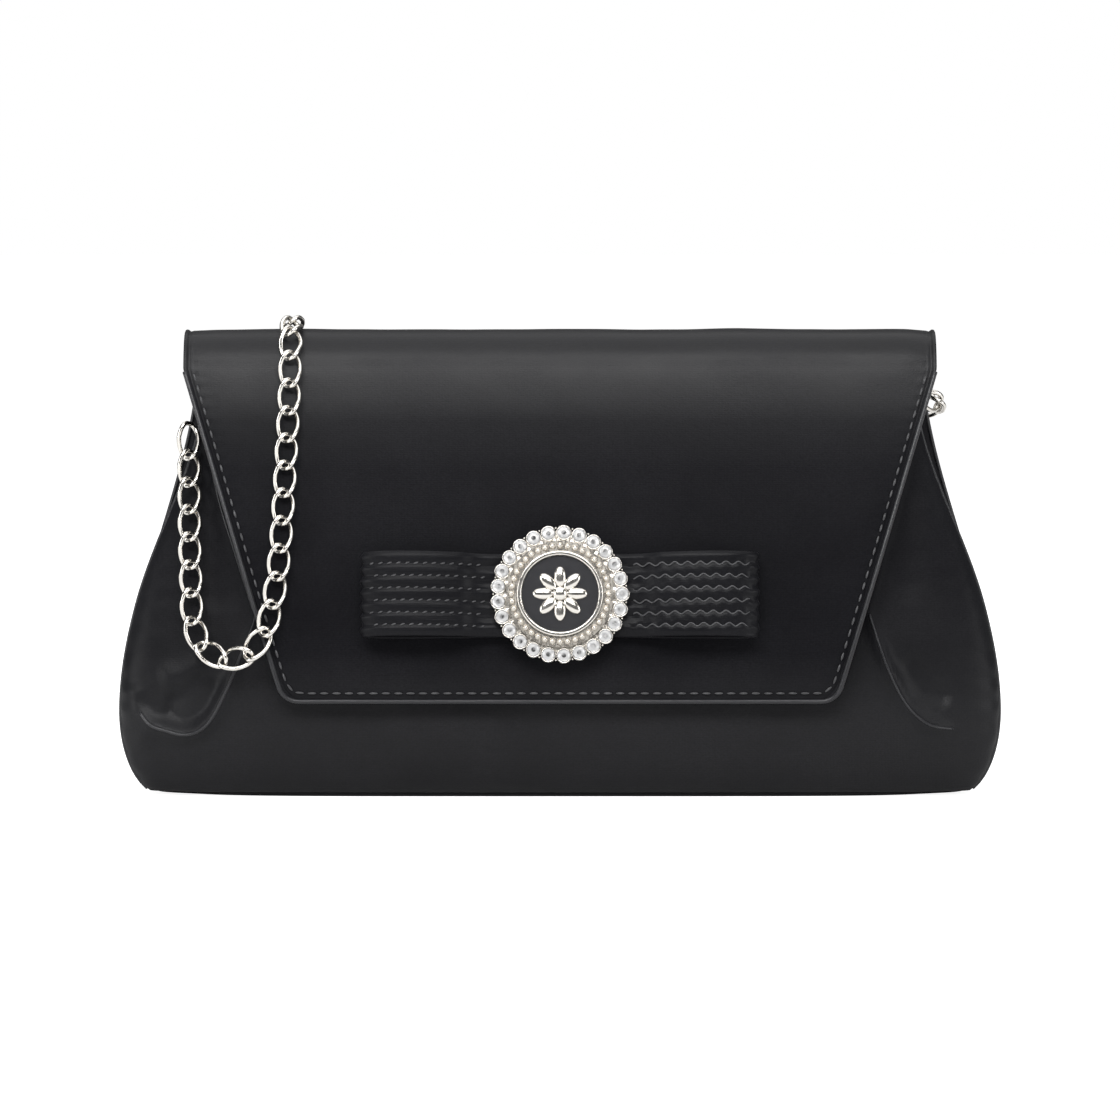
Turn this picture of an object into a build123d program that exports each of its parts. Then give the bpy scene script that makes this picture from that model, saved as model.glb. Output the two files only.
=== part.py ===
from build123d import *

import os
from math import cos, pi, radians, sin, sqrt

# Small evening bag with a fold-over flap, a flat stitched bow, a round medallion and a curb-chain strap.
# Frame: millimetres, +Z up, origin at the centre of the base's underside. -Y is the front, and +X is the side
# that lies to the right when the front is seen.

os.makedirs("parts", exist_ok=True)

# ---- driving dimensions of the soft body ----
BELLY_HALF_WIDTH = 115.2
BASE_HALF_WIDTH = 104.0
TOP_HALF_WIDTH = 95.5
BELLY_Z = 22.0
BELLY_FRONT_DEPTH = 26.0
BELLY_BACK_DEPTH = 24.5
BASE_DEPTH = 17.0
TOP_DEPTH = 7.2
BELLY_SIDE_DEPTH = 15.0
BASE_SIDE_DEPTH = 12.0
TOP_SIDE_DEPTH = 6.0
TOP_FOLD = 14.0
LOW_FOLD = 0.5
FRONT_EDGE_STEP = 3.2
BODY_TOP_Z = 116.6
BODY_LOW_Z = 1.2
PLAN_POWER = 4.5

# ---- sheet thicknesses and gaps ----
PANEL = 1.0
PADDING = 0.9
LINING = 0.6
BASE_PANEL = 1.0
BASE_BOARD = 1.4
LAYER_GAP = 0.2
LINING_INSET = 2.7
LINING_FLOOR_Z = 3.0
FACING_LOW_Z = 103.0
POCKET_LEVELS = [45, 58, 70, 82, 95]
POCKET_GAP = 0.4
POCKET_SHEET = 0.5

# ---- flap ----
FLAP_THICK = 2.3
FLAP_TOP_HALF_WIDTH = 98.8
FLAP_LOW_HALF_WIDTH = 72.2
FLAP_LOW_Z = 25.3
FLAP_CORNER = 6.0
FLAP_SHOULDER_Z = 111.0
FLAP_LAYERS = {"lining": (0.0, 0.5), "board": (0.65, 0.8), "outer": (1.55, 0.75)}  # distance out, thickness
FLAP_LEVELS = [FLAP_LOW_Z, 29, 33, 39, 45, 58, 70, 82, 95, 104, 111]

# ---- magnetic snap ----
SNAP_Z = 38.5
SNAP_RADIUS = 7.5
SNAP_CASE = 2.1
SNAP_HOLE = 3.9
STUD_RADIUS = 2.4
STUD_HEIGHT = 1.2
MALE_FLANGE = 0.7
PRONG_SPAN = 6.0
PRONG_RADIUS = 0.6

# ---- bow and medallion ----
BOW_Z = 53.0
BOW_HALF_LENGTH = 51.5
BOW_HALF_HEIGHT = 11.2
BOW_WALL = 1.2
BOW_STANDOFF = 0.3
MEDALLION_BASE = 3.3
STONE_COUNT = 25
STONE_CIRCLE = 16.1
STONE_RADIUS = 1.75
PLATE_RADIUS = STONE_CIRCLE + 2.1
PLATE_THICK = 1.4
PLATE_TOP = MEDALLION_BASE + 0.3 + PLATE_THICK
BEAD_CIRCLE = 12.55
BEAD_COUNT = 40
POST_SPAN = 7.0
POST_RADIUS = 1.1
POST_HOLE = 1.35

# ---- strap ----
LINK_HALF_WIDTH = 2.6
LINK_HALF_LENGTH = 4.7
LINK_WIRE = 0.6
LINK_TWIST = 45.0
LINK_ROUNDNESS = 0.7
LINK_PITCH = 7.4
CHAIN_OFFSET = 2.3
RING_RADIUS = 4.5
RING_WIRE = 0.75
RING_Z = 103.0
RING_BAR_INSET = 6.0
TAB_HEIGHT = 6.4
TAB_SHEET = 0.8
TAB_BORE = 1.0
TAB_TAIL = 4.0


# ---- formulas of the body's outer surface ----
def smooth(value):
    """Ease from 0 to 1."""
    clipped = min(1.0, max(0.0, value))
    return clipped * clipped * (3 - 2 * clipped)


def share_up(z):
    """0 at the belly and 1 at the top of the body."""
    return min(1.0, max(0.0, (z - BELLY_Z) / (BODY_TOP_Z - BELLY_Z)))


def belly_round(z):
    """Quarter-ellipse growth from 0 at the base to 1 at the belly."""
    low = max(0.0, 1 - z / BELLY_Z)
    return sqrt(1 - low * low)


def half_width(z):
    if z < BELLY_Z:
        return BASE_HALF_WIDTH + (BELLY_HALF_WIDTH - BASE_HALF_WIDTH) * belly_round(z)
    return BELLY_HALF_WIDTH - (BELLY_HALF_WIDTH - TOP_HALF_WIDTH) * smooth(share_up(z))


def front_half_width(z):
    """The front panel is a little narrower than the back panel near the mouth."""
    return half_width(z) - FRONT_EDGE_STEP * smooth((z - 50) / 50)


def depth(z, belly, power):
    if z < BELLY_Z:
        return BASE_DEPTH + (belly - BASE_DEPTH) * belly_round(z)
    return belly - (belly - TOP_DEPTH) * share_up(z) ** power


def front_depth(z):
    return depth(z, BELLY_FRONT_DEPTH, 1.5)


def back_depth(z):
    return depth(z, BELLY_BACK_DEPTH, 1.2)


def side_depth(z):
    if z < BELLY_Z:
        return BASE_SIDE_DEPTH + (BELLY_SIDE_DEPTH - BASE_SIDE_DEPTH) * belly_round(z)
    return BELLY_SIDE_DEPTH - (BELLY_SIDE_DEPTH - TOP_SIDE_DEPTH) * smooth(share_up(z))


def fold_depth(z):
    """How far the gusset's middle crease is tucked in from the side."""
    return LOW_FOLD + (TOP_FOLD - LOW_FOLD) * smooth(share_up(z))


def plan_fullness(share):
    return sqrt(max(0.0, 1 - abs(share) ** PLAN_POWER))


def front_surface(x, z):
    """Y of the front panel's outer face."""
    share = min(1.0, abs(x) / front_half_width(z))
    side = side_depth(z)
    return -(side + (front_depth(z) - side) * plan_fullness(share))


# ---- soft panels, each lofted through flat sections ----
SHARES = [-1, -0.96, -0.88, -0.75, -0.5, -0.25, 0, 0.25, 0.5, 0.75, 0.88, 0.96, 1]


def moved_in(points, distance):
    """Each point of a plane curve moved to its left by a distance, square to the curve."""
    moved = []
    for i, (x, y) in enumerate(points):
        x0, y0 = points[max(0, i - 1)]
        x1, y1 = points[min(len(points) - 1, i + 1)]
        run = sqrt((x1 - x0) ** 2 + (y1 - y0) ** 2)
        moved.append((x - distance * (y1 - y0) / run, y + distance * (x1 - x0) / run))
    return moved


def sheet_curve(direction, z, inset, reach):
    """Points along a panel's section, inset from its outer face; -1 is the front and +1 the back."""
    width = front_half_width(z) if direction < 0 else half_width(z)
    full = front_depth(z) if direction < 0 else back_depth(z)
    side = side_depth(z)
    points = []
    for share in SHARES:
        points.append((-direction * share * reach * width, 0))
    points = [(x, direction * (side + (full - side) * plan_fullness(x / width))) for x, _ in points]
    return moved_in(points, inset)


def body_sheet(direction, inset, thickness, levels, reach=1.0):
    """A curved sheet that follows the front (-1) or back (+1) of the body."""
    with BuildPart() as sheet:
        for z in levels:
            outer = sheet_curve(direction, z, inset, reach)
            inner = sheet_curve(direction, z, inset + thickness, reach)
            with BuildSketch(Plane.XY.offset(z)):
                with BuildLine():
                    Spline(outer)
                    Line(outer[-1], inner[-1])
                    Spline(inner[::-1])
                    Line(inner[0], outer[0])
                make_face()
        loft(ruled=True)
    return sheet


def gusset(side):
    """A narrow side panel with its middle crease tucked in."""
    with BuildPart() as strip:
        for z in PANEL_LEVELS:
            front_x = front_half_width(z) - 0.3
            back_x = half_width(z) - 0.3
            crease = half_width(z) - fold_depth(z)
            edge = side_depth(z) - PANEL - 2 * LAYER_GAP
            outer = [(front_x, -edge), (crease, 0), (back_x, edge)]
            inner = [(x - PANEL, y) for x, y in reversed(outer)]
            with BuildSketch(Plane.XY.offset(z)):
                with BuildLine():
                    Polyline([(side * x, y) for x, y in outer + inner], close=True)
                make_face()
        loft(ruled=True)
    return strip


def lining_outline(z, inset):
    """A closed, rounded outline inside the panels, clear of the gussets' creases."""
    width = half_width(z) - fold_depth(z) - 4.0 - (inset - LINING_INSET)
    front = front_depth(z) - inset
    back = back_depth(z) - inset
    points = []
    for step in range(28):
        angle = 2 * pi * (step + 0.5) / 28
        across = cos(angle)
        along = sin(angle)
        x = width * (1 if across > 0 else -1) * abs(across) ** (2 / PLAN_POWER)
        points.append((x, (back if along > 0 else front) * along))
    return points


def lining_solid(levels, inset):
    with BuildPart() as solid:
        for z in levels:
            with BuildSketch(Plane.XY.offset(z)):
                with BuildLine():
                    Spline(lining_outline(z, inset), periodic=True)
                make_face()
        loft(ruled=True)
    return solid.part


def lining_tube(levels, floor=0.0):
    """A thin tube following the lining's outline, with a floor of the given thickness."""
    upper = [levels[0] + floor] + list(levels[1:])
    with BuildPart() as tube:
        add(lining_solid(levels, LINING_INSET))
        add(lining_solid(upper, LINING_INSET + LINING), mode=Mode.SUBTRACT)
    return tube


def base_plate(z, thickness, inset):
    """A flat plate with the outline of the panels' lower edge."""
    front = sheet_curve(-1, BODY_LOW_Z, inset, 1.0)
    back = sheet_curve(1, BODY_LOW_Z, inset, 1.0)
    with BuildPart() as plate:
        with BuildSketch(Plane.XY.offset(z)):
            with BuildLine():
                Spline(front)
                Line(front[-1], back[0])
                Spline(back)
                Line(back[-1], front[0])
            make_face()
        extrude(amount=thickness)
    return plate


PANEL_LEVELS = [BODY_LOW_Z, 3, 6, 11, 16, BELLY_Z, 33, 45, 58, 70, 82, 95, 106, BODY_TOP_Z]
PADDING_LEVELS = [11, 16, BELLY_Z, 33, 45, 58, 70, 82, 95, 106, 112]
LINING_LEVELS = [LINING_FLOOR_Z, 6, 11, 16, BELLY_Z, 33, 45, 58, 70, 82, 95, FACING_LOW_Z - 0.2]

# ---- planes square to the front panel at the snap ----
def front_slope(z):
    """Backward lean of the front panel, as dy/dz."""
    return (front_depth(z - 1) - front_depth(z + 1)) / 2


snap_lean = front_slope(SNAP_Z)
snap_origin = (0, -front_depth(SNAP_Z), SNAP_Z)
snap_plane = Plane(origin=snap_origin, x_dir=(1, 0, 0), z_dir=(0, -1, snap_lean))

# ---- body ----
with BuildPart() as front_panel:
    add(body_sheet(-1, 0, PANEL, PANEL_LEVELS).part)
    with Locations(snap_plane):
        with GridLocations(PRONG_SPAN, 1, 2, 1):
            Cylinder(PRONG_RADIUS + 0.2, 6, mode=Mode.SUBTRACT)
back_panel = body_sheet(1, 0, PANEL, PANEL_LEVELS)
gusset_left = gusset(-1)
gusset_right = gusset(1)
base_panel = base_plate(0, BASE_PANEL, 0)
base_board = base_plate(BODY_LOW_Z, BASE_BOARD, 3.4)
with BuildPart() as front_padding:
    add(body_sheet(-1, PANEL + LAYER_GAP, PADDING, PADDING_LEVELS, 0.8).part)
    with Locations(snap_plane):
        Cylinder(SNAP_RADIUS + 0.5, 8, mode=Mode.SUBTRACT)
back_board = body_sheet(1, PANEL + LAYER_GAP, PADDING, PADDING_LEVELS, 0.8)
lining_bag = lining_tube(LINING_LEVELS, LINING)
mouth_facing = lining_tube([FACING_LOW_Z, 106, BODY_TOP_Z])

# ---- slip pocket on the back of the lining ----
with BuildPart() as slip_pocket:
    for z in POCKET_LEVELS:
        inset = LINING_INSET + LINING + POCKET_GAP
        span = half_width(z) - fold_depth(z) - 5.0
        pocket_back = []
        for x in [-46, -23, 0, 23, 46]:
            pocket_back.append((x, (back_depth(z) - inset) * plan_fullness(x / span)))
        pocket_front = [(x, y - POCKET_SHEET) for x, y in reversed(pocket_back)]
        with BuildSketch(Plane.XY.offset(z)):
            with BuildLine():
                Spline(pocket_back)
                Line(pocket_back[-1], pocket_front[0])
                Spline(pocket_front)
                Line(pocket_front[-1], pocket_back[0])
            make_face()
    loft(ruled=True)

# ---- flap: one side profile, cut to a tapered outline ----
def flap_gap(z):
    """Space between the front panel and the flap's inner face."""
    return 1.0 + 2.3 * smooth((108 - z) / 60) - 1.0 * smooth((31 - z) / 8)


def flap_path(distance):
    """The flap's profile as (y, z) points, a distance outside its inner face."""
    points = [(-(front_depth(z) + flap_gap(z)), z) for z in FLAP_LEVELS]
    points += [(-8.3, 115.4), (-5.2, 118.6), (0.0, 119.6), (4.5, 119.2), (7.6, 118.5)]
    return moved_in(points, distance)


def flap_layer(distance, thickness, margin):
    """One layer of the flap; the margin trims its outline."""
    inner = flap_path(distance)
    outer = flap_path(distance + thickness)
    with BuildPart() as layer:
        with BuildSketch(Plane.YZ):
            with BuildLine():
                Spline(inner)
                Line(inner[-1], outer[-1])
                Spline(outer[::-1])
                Line(outer[0], inner[0])
            make_face()
        extrude(amount=FLAP_TOP_HALF_WIDTH + 1, both=True)
        top = FLAP_TOP_HALF_WIDTH - margin
        low = FLAP_LOW_HALF_WIDTH - margin
        half_outline = [(top, 125), (top, FLAP_SHOULDER_Z), (low, FLAP_LOW_Z + margin)]
        corners = [(-1, x, z) for x, z in half_outline] + [(1, x, z) for x, z in reversed(half_outline)]
        with BuildSketch(Plane.XZ) as outline:
            with BuildLine():
                Polyline([(side * x, z) for side, x, z in corners], close=True)
            make_face()
            fillet(outline.vertices().group_by(Axis.Y)[0], FLAP_CORNER)
        extrude(amount=60, both=True, mode=Mode.INTERSECT)
        with Locations(bow_plane):
            with GridLocations(2 * POST_SPAN, 1, 2, 1):
                Cylinder(POST_HOLE, 16, mode=Mode.SUBTRACT)
    return layer


def flap_face_y(z):
    """Y of the flap's outer face."""
    return -(front_depth(z) + flap_gap(z) + FLAP_THICK)


bow_lean = (flap_face_y(BOW_Z + 8) - flap_face_y(BOW_Z - 8)) / 16
bow_origin = (0, flap_face_y(BOW_Z) - BOW_STANDOFF, BOW_Z)
bow_plane = Plane(origin=bow_origin, x_dir=(1, 0, 0), z_dir=(0, -1, bow_lean))

flap_lining = flap_layer(*FLAP_LAYERS["lining"], 1.2)
flap_outer = flap_layer(*FLAP_LAYERS["outer"], 0.0)
with BuildPart() as flap_board:
    add(flap_layer(*FLAP_LAYERS["board"], 2.0).part)
    with Locations(bow_plane):
        Box(2 * POST_SPAN + 6, 6, 16, mode=Mode.SUBTRACT)

# ---- magnetic snap: female half on the front panel, male half on the flap's lining ----
with BuildPart() as snap_female_case:
    with BuildSketch(snap_plane.offset(LAYER_GAP)):
        Circle(SNAP_RADIUS)
    extrude(amount=SNAP_CASE)
    with BuildSketch(snap_plane.offset(LAYER_GAP + 0.5)):
        Circle(SNAP_RADIUS - 0.5)
    extrude(amount=SNAP_CASE, mode=Mode.SUBTRACT)
    with BuildSketch(snap_plane.offset(LAYER_GAP + 0.2)):
        with GridLocations(PRONG_SPAN, 1, 2, 1):
            Circle(PRONG_RADIUS)
    extrude(amount=-2.7)

with BuildPart() as snap_magnet:
    with BuildSketch(snap_plane.offset(LAYER_GAP + 0.6)):
        Circle(SNAP_RADIUS - 0.6)
        Circle(SNAP_HOLE, mode=Mode.SUBTRACT)
    extrude(amount=SNAP_CASE - 0.7)

with BuildPart() as snap_female_washer:
    with BuildSketch(snap_plane.offset(-PANEL - LAYER_GAP - 0.6)):
        Circle(SNAP_RADIUS)
        with GridLocations(PRONG_SPAN, 1, 2, 1):
            Circle(PRONG_RADIUS + 0.1, mode=Mode.SUBTRACT)
    extrude(amount=0.6)

male_origin = (0, -(front_depth(SNAP_Z) + flap_gap(SNAP_Z)), SNAP_Z)
male_plane = Plane(origin=male_origin, x_dir=(1, 0, 0), z_dir=(0, 1, -snap_lean))
with BuildPart() as snap_male:
    with BuildSketch(male_plane.offset(0.15)):
        Circle(SNAP_RADIUS - 0.5)
    extrude(amount=MALE_FLANGE)
    with BuildSketch(male_plane.offset(MALE_FLANGE)):
        Circle(STUD_RADIUS)
    extrude(amount=STUD_HEIGHT)

# ---- bow: a flattened closed band, tacked through its middle ----
section_plane = Plane(origin=bow_plane.origin, x_dir=(1, 0, 0), z_dir=-bow_plane.y_dir)
bow_half = [(0, 3.1), (19, 3.35), (27, 6.2), (38, 8.0), (47, 7.2)]
bow_half += [(BOW_HALF_LENGTH, 4.1), (48.5, 1.1), (43, 0.4)]
bow_outside = [(-x, y) for x, y in bow_half[:0:-1]] + bow_half
bow_inside = moved_in(bow_outside, -BOW_WALL)
with BuildPart() as bow_band:
    with BuildSketch(section_plane):
        with BuildLine():
            Spline(bow_outside)
            Line(bow_outside[-1], bow_outside[0])
        make_face()
        with BuildLine():
            Spline(bow_inside)
            Line(bow_inside[-1], bow_inside[0])
        make_face(mode=Mode.SUBTRACT)
    extrude(amount=BOW_HALF_HEIGHT, both=True)
    with Locations(bow_plane):
        with GridLocations(2 * POST_SPAN, 1, 2, 1):
            Cylinder(POST_HOLE, 30, mode=Mode.SUBTRACT)

# ---- medallion: plate with two posts, ring of stones, beaded ring, bezel, enamel disc and rosette ----
with BuildPart() as medallion_plate:
    with BuildSketch(bow_plane.offset(PLATE_TOP - PLATE_THICK)):
        Circle(PLATE_RADIUS)
    extrude(amount=PLATE_THICK)
    with BuildSketch(bow_plane.offset(PLATE_TOP - 0.9)):
        with PolarLocations(STONE_CIRCLE, STONE_COUNT):
            Circle(STONE_RADIUS + 0.06)
    extrude(amount=2, mode=Mode.SUBTRACT)
    with BuildSketch(bow_plane.offset(PLATE_TOP - 1)):
        with GridLocations(2 * POST_SPAN, 1, 2, 1):
            Circle(POST_RADIUS)
    extrude(amount=-(PLATE_TOP - 1) - BOW_STANDOFF - 1.6)

with BuildPart() as stones:
    with Locations(bow_plane.offset(PLATE_TOP - 0.85)):
        with PolarLocations(STONE_CIRCLE, STONE_COUNT):
            Cylinder(STONE_RADIUS, 1.1, align=(Align.CENTER, Align.CENTER, Align.MIN))
    with Locations(bow_plane.offset(PLATE_TOP + 0.25)):
        with PolarLocations(STONE_CIRCLE, STONE_COUNT):
            Cone(STONE_RADIUS, STONE_RADIUS * 0.6, 0.6, align=(Align.CENTER, Align.CENTER, Align.MIN))

with BuildPart() as beaded_ring:
    with BuildSketch(bow_plane.offset(PLATE_TOP + 0.05)):
        Circle(13.85)
        Circle(11.3, mode=Mode.SUBTRACT)
    extrude(amount=0.9)
    with Locations(bow_plane.offset(PLATE_TOP + 0.9)):
        with PolarLocations(BEAD_CIRCLE, BEAD_COUNT):
            Sphere(0.85)

with BuildPart() as bezel:
    with BuildSketch(bow_plane.offset(PLATE_TOP + 0.05)):
        Circle(11.2)
        Circle(10.0, mode=Mode.SUBTRACT)
    extrude(amount=1.9)
    fillet(bezel.edges().filter_by(GeomType.CIRCLE).sort_by(Axis.Y)[:2], 0.4)

with BuildPart() as enamel_disc:
    with BuildSketch(bow_plane.offset(PLATE_TOP + 0.05)):
        Circle(9.9)
    extrude(amount=0.9)

with BuildPart() as rosette:
    with BuildSketch(bow_plane.offset(PLATE_TOP + 1.0)):
        Circle(2.4)
        with PolarLocations(4.4, 8):
            Ellipse(2.9, 1.25)
    extrude(amount=1.0)

with BuildPart() as medallion_washer:
    with BuildSketch(bow_plane.offset(-BOW_STANDOFF - 1.5)):
        RectangleRounded(2 * POST_SPAN + 5, 4.6, 1.2)
        with GridLocations(2 * POST_SPAN, 1, 2, 1):
            Circle(POST_RADIUS + 0.08, mode=Mode.SUBTRACT)
    extrude(amount=0.5)

# ---- strap: curb links made of round wire, each a twisted oval ----
def signed_power(value, power):
    return (1 if value > 0 else -1) * abs(value) ** power


def link_point(turn):
    """Centreline of a link; its ends are rolled opposite ways about the long axis."""
    wide = LINK_HALF_WIDTH * signed_power(cos(turn), LINK_ROUNDNESS)
    roll = radians(LINK_TWIST) * sin(turn)
    return Vector(wide * cos(roll), wide * sin(roll), LINK_HALF_LENGTH * sin(turn))


def link_heading(turn):
    return (link_point(turn + 0.01) - link_point(turn - 0.01)).normalized()


def link_half(start):
    """Half a link, from one end of its long axis to the other."""
    turns = [start + pi * step / 10 for step in range(11)]
    headings = [link_heading(turns[0]), link_heading(turns[-1])]
    with BuildPart() as half_link:
        with BuildLine():
            Spline([link_point(turn) for turn in turns], tangents=headings)
        with BuildSketch(Plane(origin=link_point(start), z_dir=link_heading(start))):
            Circle(LINK_WIRE)
        sweep()
    return half_link.part


link = link_half(0) + link_half(pi)


def link_ends(route):
    """Crossing points one pitch apart along a smooth route."""
    curve = Spline(route)
    steps = int(curve.length / 0.04)
    ends = [curve @ 0]
    for step in range(steps):
        here = curve @ (step / steps)
        if (here - ends[-1]).length >= LINK_PITCH:
            ends.append(here)
    return ends


def strand(ends, outward, roll=0.0):
    """Links between neighbouring crossing points, lying flat against a surface facing outward."""
    links = []
    for low, high in zip(ends, ends[1:]):
        heading = (high - low).normalized()
        across = heading.cross(Vector(*outward)).normalized()
        rolled = across * cos(radians(roll)) + heading.cross(across) * sin(radians(roll))
        placed = Plane(origin=(low + high) / 2, x_dir=rolled, z_dir=heading)
        links.append(placed.location * link)
    return links


def back_surface(x, z):
    """Y of the back panel's outer face."""
    side = side_depth(z)
    return side + (back_depth(z) - side) * plan_fullness(min(1.0, abs(x) / half_width(z)))


# over the flap's fold, down its front, round the low bend and up the left side
fold_route = [(-70.5, 5.1, 123.7), (-70.5, 1.0, 124.1), (-70.5, -4.0, 123.8)]
fold_route += [(-70.5, -9.6, 121.3), (-70.5, -12.9, 116.3)]
flap_line = [(-70.6, 108), (-71.4, 88), (-72.6, 66), (-73.8, 55), (-75.2, 48)]
flap_route = [(x, flap_face_y(z) - CHAIN_OFFSET, z) for x, z in flap_line]
bend_route = [(-77.6, -32.3, 41.2), (-83.2, -31.0, 36.6), (-90.3, -28.4, 37.2), (-94.9, -25.7, 42.8)]
side_line = [(-96.0, 52), (-96.4, 62), (-96.7, 72), (-97.0, 84), (-97.5, 98.5)]
side_route = [(x, front_surface(x, z) - CHAIN_OFFSET - 1.0, z) for x, z in side_line]
front_ends = link_ends(fold_route + flap_route + bend_route + side_route)
fold_stop = 3
side_start = max(i for i, end in enumerate(front_ends) if end.Z < 45)
chain_fold_links = strand(front_ends[: fold_stop + 1], (0, -1, 1))
chain_flap_strand = strand(front_ends[fold_stop : side_start + 1], (0, -1, 0.15))
chain_side_strand = strand(front_ends[side_start:], (-0.5, -1, 0), 30)

# from the right ring round the back panel's edge and across the back
wrap_route = [(94.6, -0.35, RING_Z), (100.1, 4.6, 102.9), (100.4, 11.8, 102.2)]
wrap_route += [(95.6, 17.0, 100.6), (88.8, 18.0, 97.6)]
back_line = [(80, 90), (71, 78), (61, 66), (39, 51), (14, 42), (-12, 42), (-35, 54), (-52, 73), (-63, 93)]
back_line += [(-70.2, 113.4)]
back_route = [(x, back_surface(x, z) + CHAIN_OFFSET + 0.9, z) for x, z in back_line]
back_ends = link_ends(wrap_route + back_route)
chain_back_strand = strand(back_ends[:2], (1, 0.3, 0), -20)
chain_back_strand += strand(back_ends[1:3], (1, 0.3, 0), -15)
chain_back_strand += strand(back_ends[2:], (0.3, 1, 0))


# ---- rings and the tabs that hold them ----
def ring_bar_x(side):
    return side * (half_width(RING_Z) - RING_BAR_INSET)


def strap_ring(side):
    """A D-shaped ring standing in the plane of the tab, its straight bar against the body."""
    bar_x = ring_bar_x(side)
    with BuildPart() as ring:
        with Locations(Plane(origin=(bar_x, 0, RING_Z), z_dir=(0, 1, 0))):
            Torus(RING_RADIUS, RING_WIRE)
        with Locations((bar_x - side * RING_RADIUS, 0, RING_Z)):
            Box(2 * RING_RADIUS, 4, 4 * RING_RADIUS, mode=Mode.SUBTRACT)
        with Locations((bar_x, 0, RING_Z - RING_RADIUS), (bar_x, 0, RING_Z + RING_RADIUS)):
            Sphere(RING_WIRE)
        with Locations((bar_x, 0, RING_Z)):
            Cylinder(RING_WIRE, 2 * RING_RADIUS)
    return ring


def strap_tab(side):
    """Fabric folded round the ring's bar, its doubled tail sewn into the side crease."""
    with BuildPart() as tab:
        with BuildSketch(Plane.XY.offset(RING_Z)):
            with Locations((ring_bar_x(side), 0)):
                Circle(TAB_BORE + TAB_SHEET)
            with Locations((ring_bar_x(side) - side * TAB_TAIL / 2, 0)):
                Rectangle(TAB_TAIL, 2 * TAB_SHEET)
            with Locations((ring_bar_x(side), 0)):
                Circle(TAB_BORE, mode=Mode.SUBTRACT)
        extrude(amount=TAB_HEIGHT / 2, both=True)
    return tab


ring_left = strap_ring(-1)
ring_right = strap_ring(1)
strap_tab_left = strap_tab(-1)
strap_tab_right = strap_tab(1)

# ---- export, one file per piece ----
built = {
    "front_panel": front_panel,
    "back_panel": back_panel,
    "gusset_left": gusset_left,
    "gusset_right": gusset_right,
    "base_panel": base_panel,
    "base_board": base_board,
    "front_padding": front_padding,
    "back_board": back_board,
    "lining_bag": lining_bag,
    "mouth_facing": mouth_facing,
    "slip_pocket": slip_pocket,
    "flap_lining": flap_lining,
    "flap_board": flap_board,
    "flap_outer": flap_outer,
    "snap_female_case": snap_female_case,
    "snap_magnet": snap_magnet,
    "snap_female_washer": snap_female_washer,
    "snap_male": snap_male,
    "bow_band": bow_band,
    "medallion_plate": medallion_plate,
    "medallion_washer": medallion_washer,
    "stones": stones,
    "beaded_ring": beaded_ring,
    "bezel": bezel,
    "enamel_disc": enamel_disc,
    "rosette": rosette,
    "strap_tab_left": strap_tab_left,
    "strap_tab_right": strap_tab_right,
    "ring_left": ring_left,
    "ring_right": ring_right,
}
for name, piece in built.items():
    piece.part.label = name
    export_step(piece.part, f"parts/{name}.step")

strands = {
    "chain_fold_links": chain_fold_links,
    "chain_flap_strand": chain_flap_strand,
    "chain_side_strand": chain_side_strand,
    "chain_back_strand": chain_back_strand,
}
for name, links in strands.items():
    export_step(Compound(label=name, children=links), f"parts/{name}.step")
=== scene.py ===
"""Looks of the evening bag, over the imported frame.

Soft satin pieces, stitching, metal, stones, light and camera.
All helper formulas work in millimetres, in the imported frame's axes; meshes are written in metres.
"""
import bpy
from math import cos, exp, hypot, pi, radians, sin, sqrt
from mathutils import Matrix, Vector, noise


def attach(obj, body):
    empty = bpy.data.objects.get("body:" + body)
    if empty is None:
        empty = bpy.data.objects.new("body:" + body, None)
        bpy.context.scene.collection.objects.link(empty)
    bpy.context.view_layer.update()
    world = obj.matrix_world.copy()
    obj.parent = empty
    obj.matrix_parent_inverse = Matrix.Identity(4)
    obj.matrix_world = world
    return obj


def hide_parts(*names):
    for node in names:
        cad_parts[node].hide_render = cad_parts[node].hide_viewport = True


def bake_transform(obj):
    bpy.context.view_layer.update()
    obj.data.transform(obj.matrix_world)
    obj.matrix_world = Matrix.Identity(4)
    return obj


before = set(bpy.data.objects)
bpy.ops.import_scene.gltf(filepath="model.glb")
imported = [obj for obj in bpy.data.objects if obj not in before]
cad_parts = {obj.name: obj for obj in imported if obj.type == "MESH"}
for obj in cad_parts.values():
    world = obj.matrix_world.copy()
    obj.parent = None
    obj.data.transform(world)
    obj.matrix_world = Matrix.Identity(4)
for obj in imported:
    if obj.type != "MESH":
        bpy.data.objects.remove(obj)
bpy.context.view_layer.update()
MM = 0.001

# ---- the body's surface, as in the CAD source ----
BELLY_HALF_WIDTH = 115.2
BASE_HALF_WIDTH = 104.0
TOP_HALF_WIDTH = 95.5
BELLY_Z = 22.0
BELLY_FRONT_DEPTH = 26.0
BELLY_BACK_DEPTH = 24.5
BASE_DEPTH = 17.0
TOP_DEPTH = 7.2
BELLY_SIDE_DEPTH = 15.0
BASE_SIDE_DEPTH = 12.0
TOP_SIDE_DEPTH = 6.0
TOP_FOLD = 14.0
LOW_FOLD = 0.5
FRONT_EDGE_STEP = 3.2
FRONT_STEP_LOW_Z = 50
FRONT_STEP_RISE = 50
FRONT_POWER = 1.5
BACK_POWER = 1.2
BODY_TOP_Z = 116.6
BODY_LOW_Z = 1.2
PLAN_POWER = 4.5
LINING_INSET = 2.7
FLAP_THICK = 2.3
FLAP_TOP_HALF_WIDTH = 98.8
FLAP_LOW_HALF_WIDTH = 72.2
FLAP_LOW_Z = 25.3
FLAP_SHOULDER_Z = 111.0
FLAP_CORNER = 6.0
FLAP_GAP_TOP = 1.0
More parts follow.
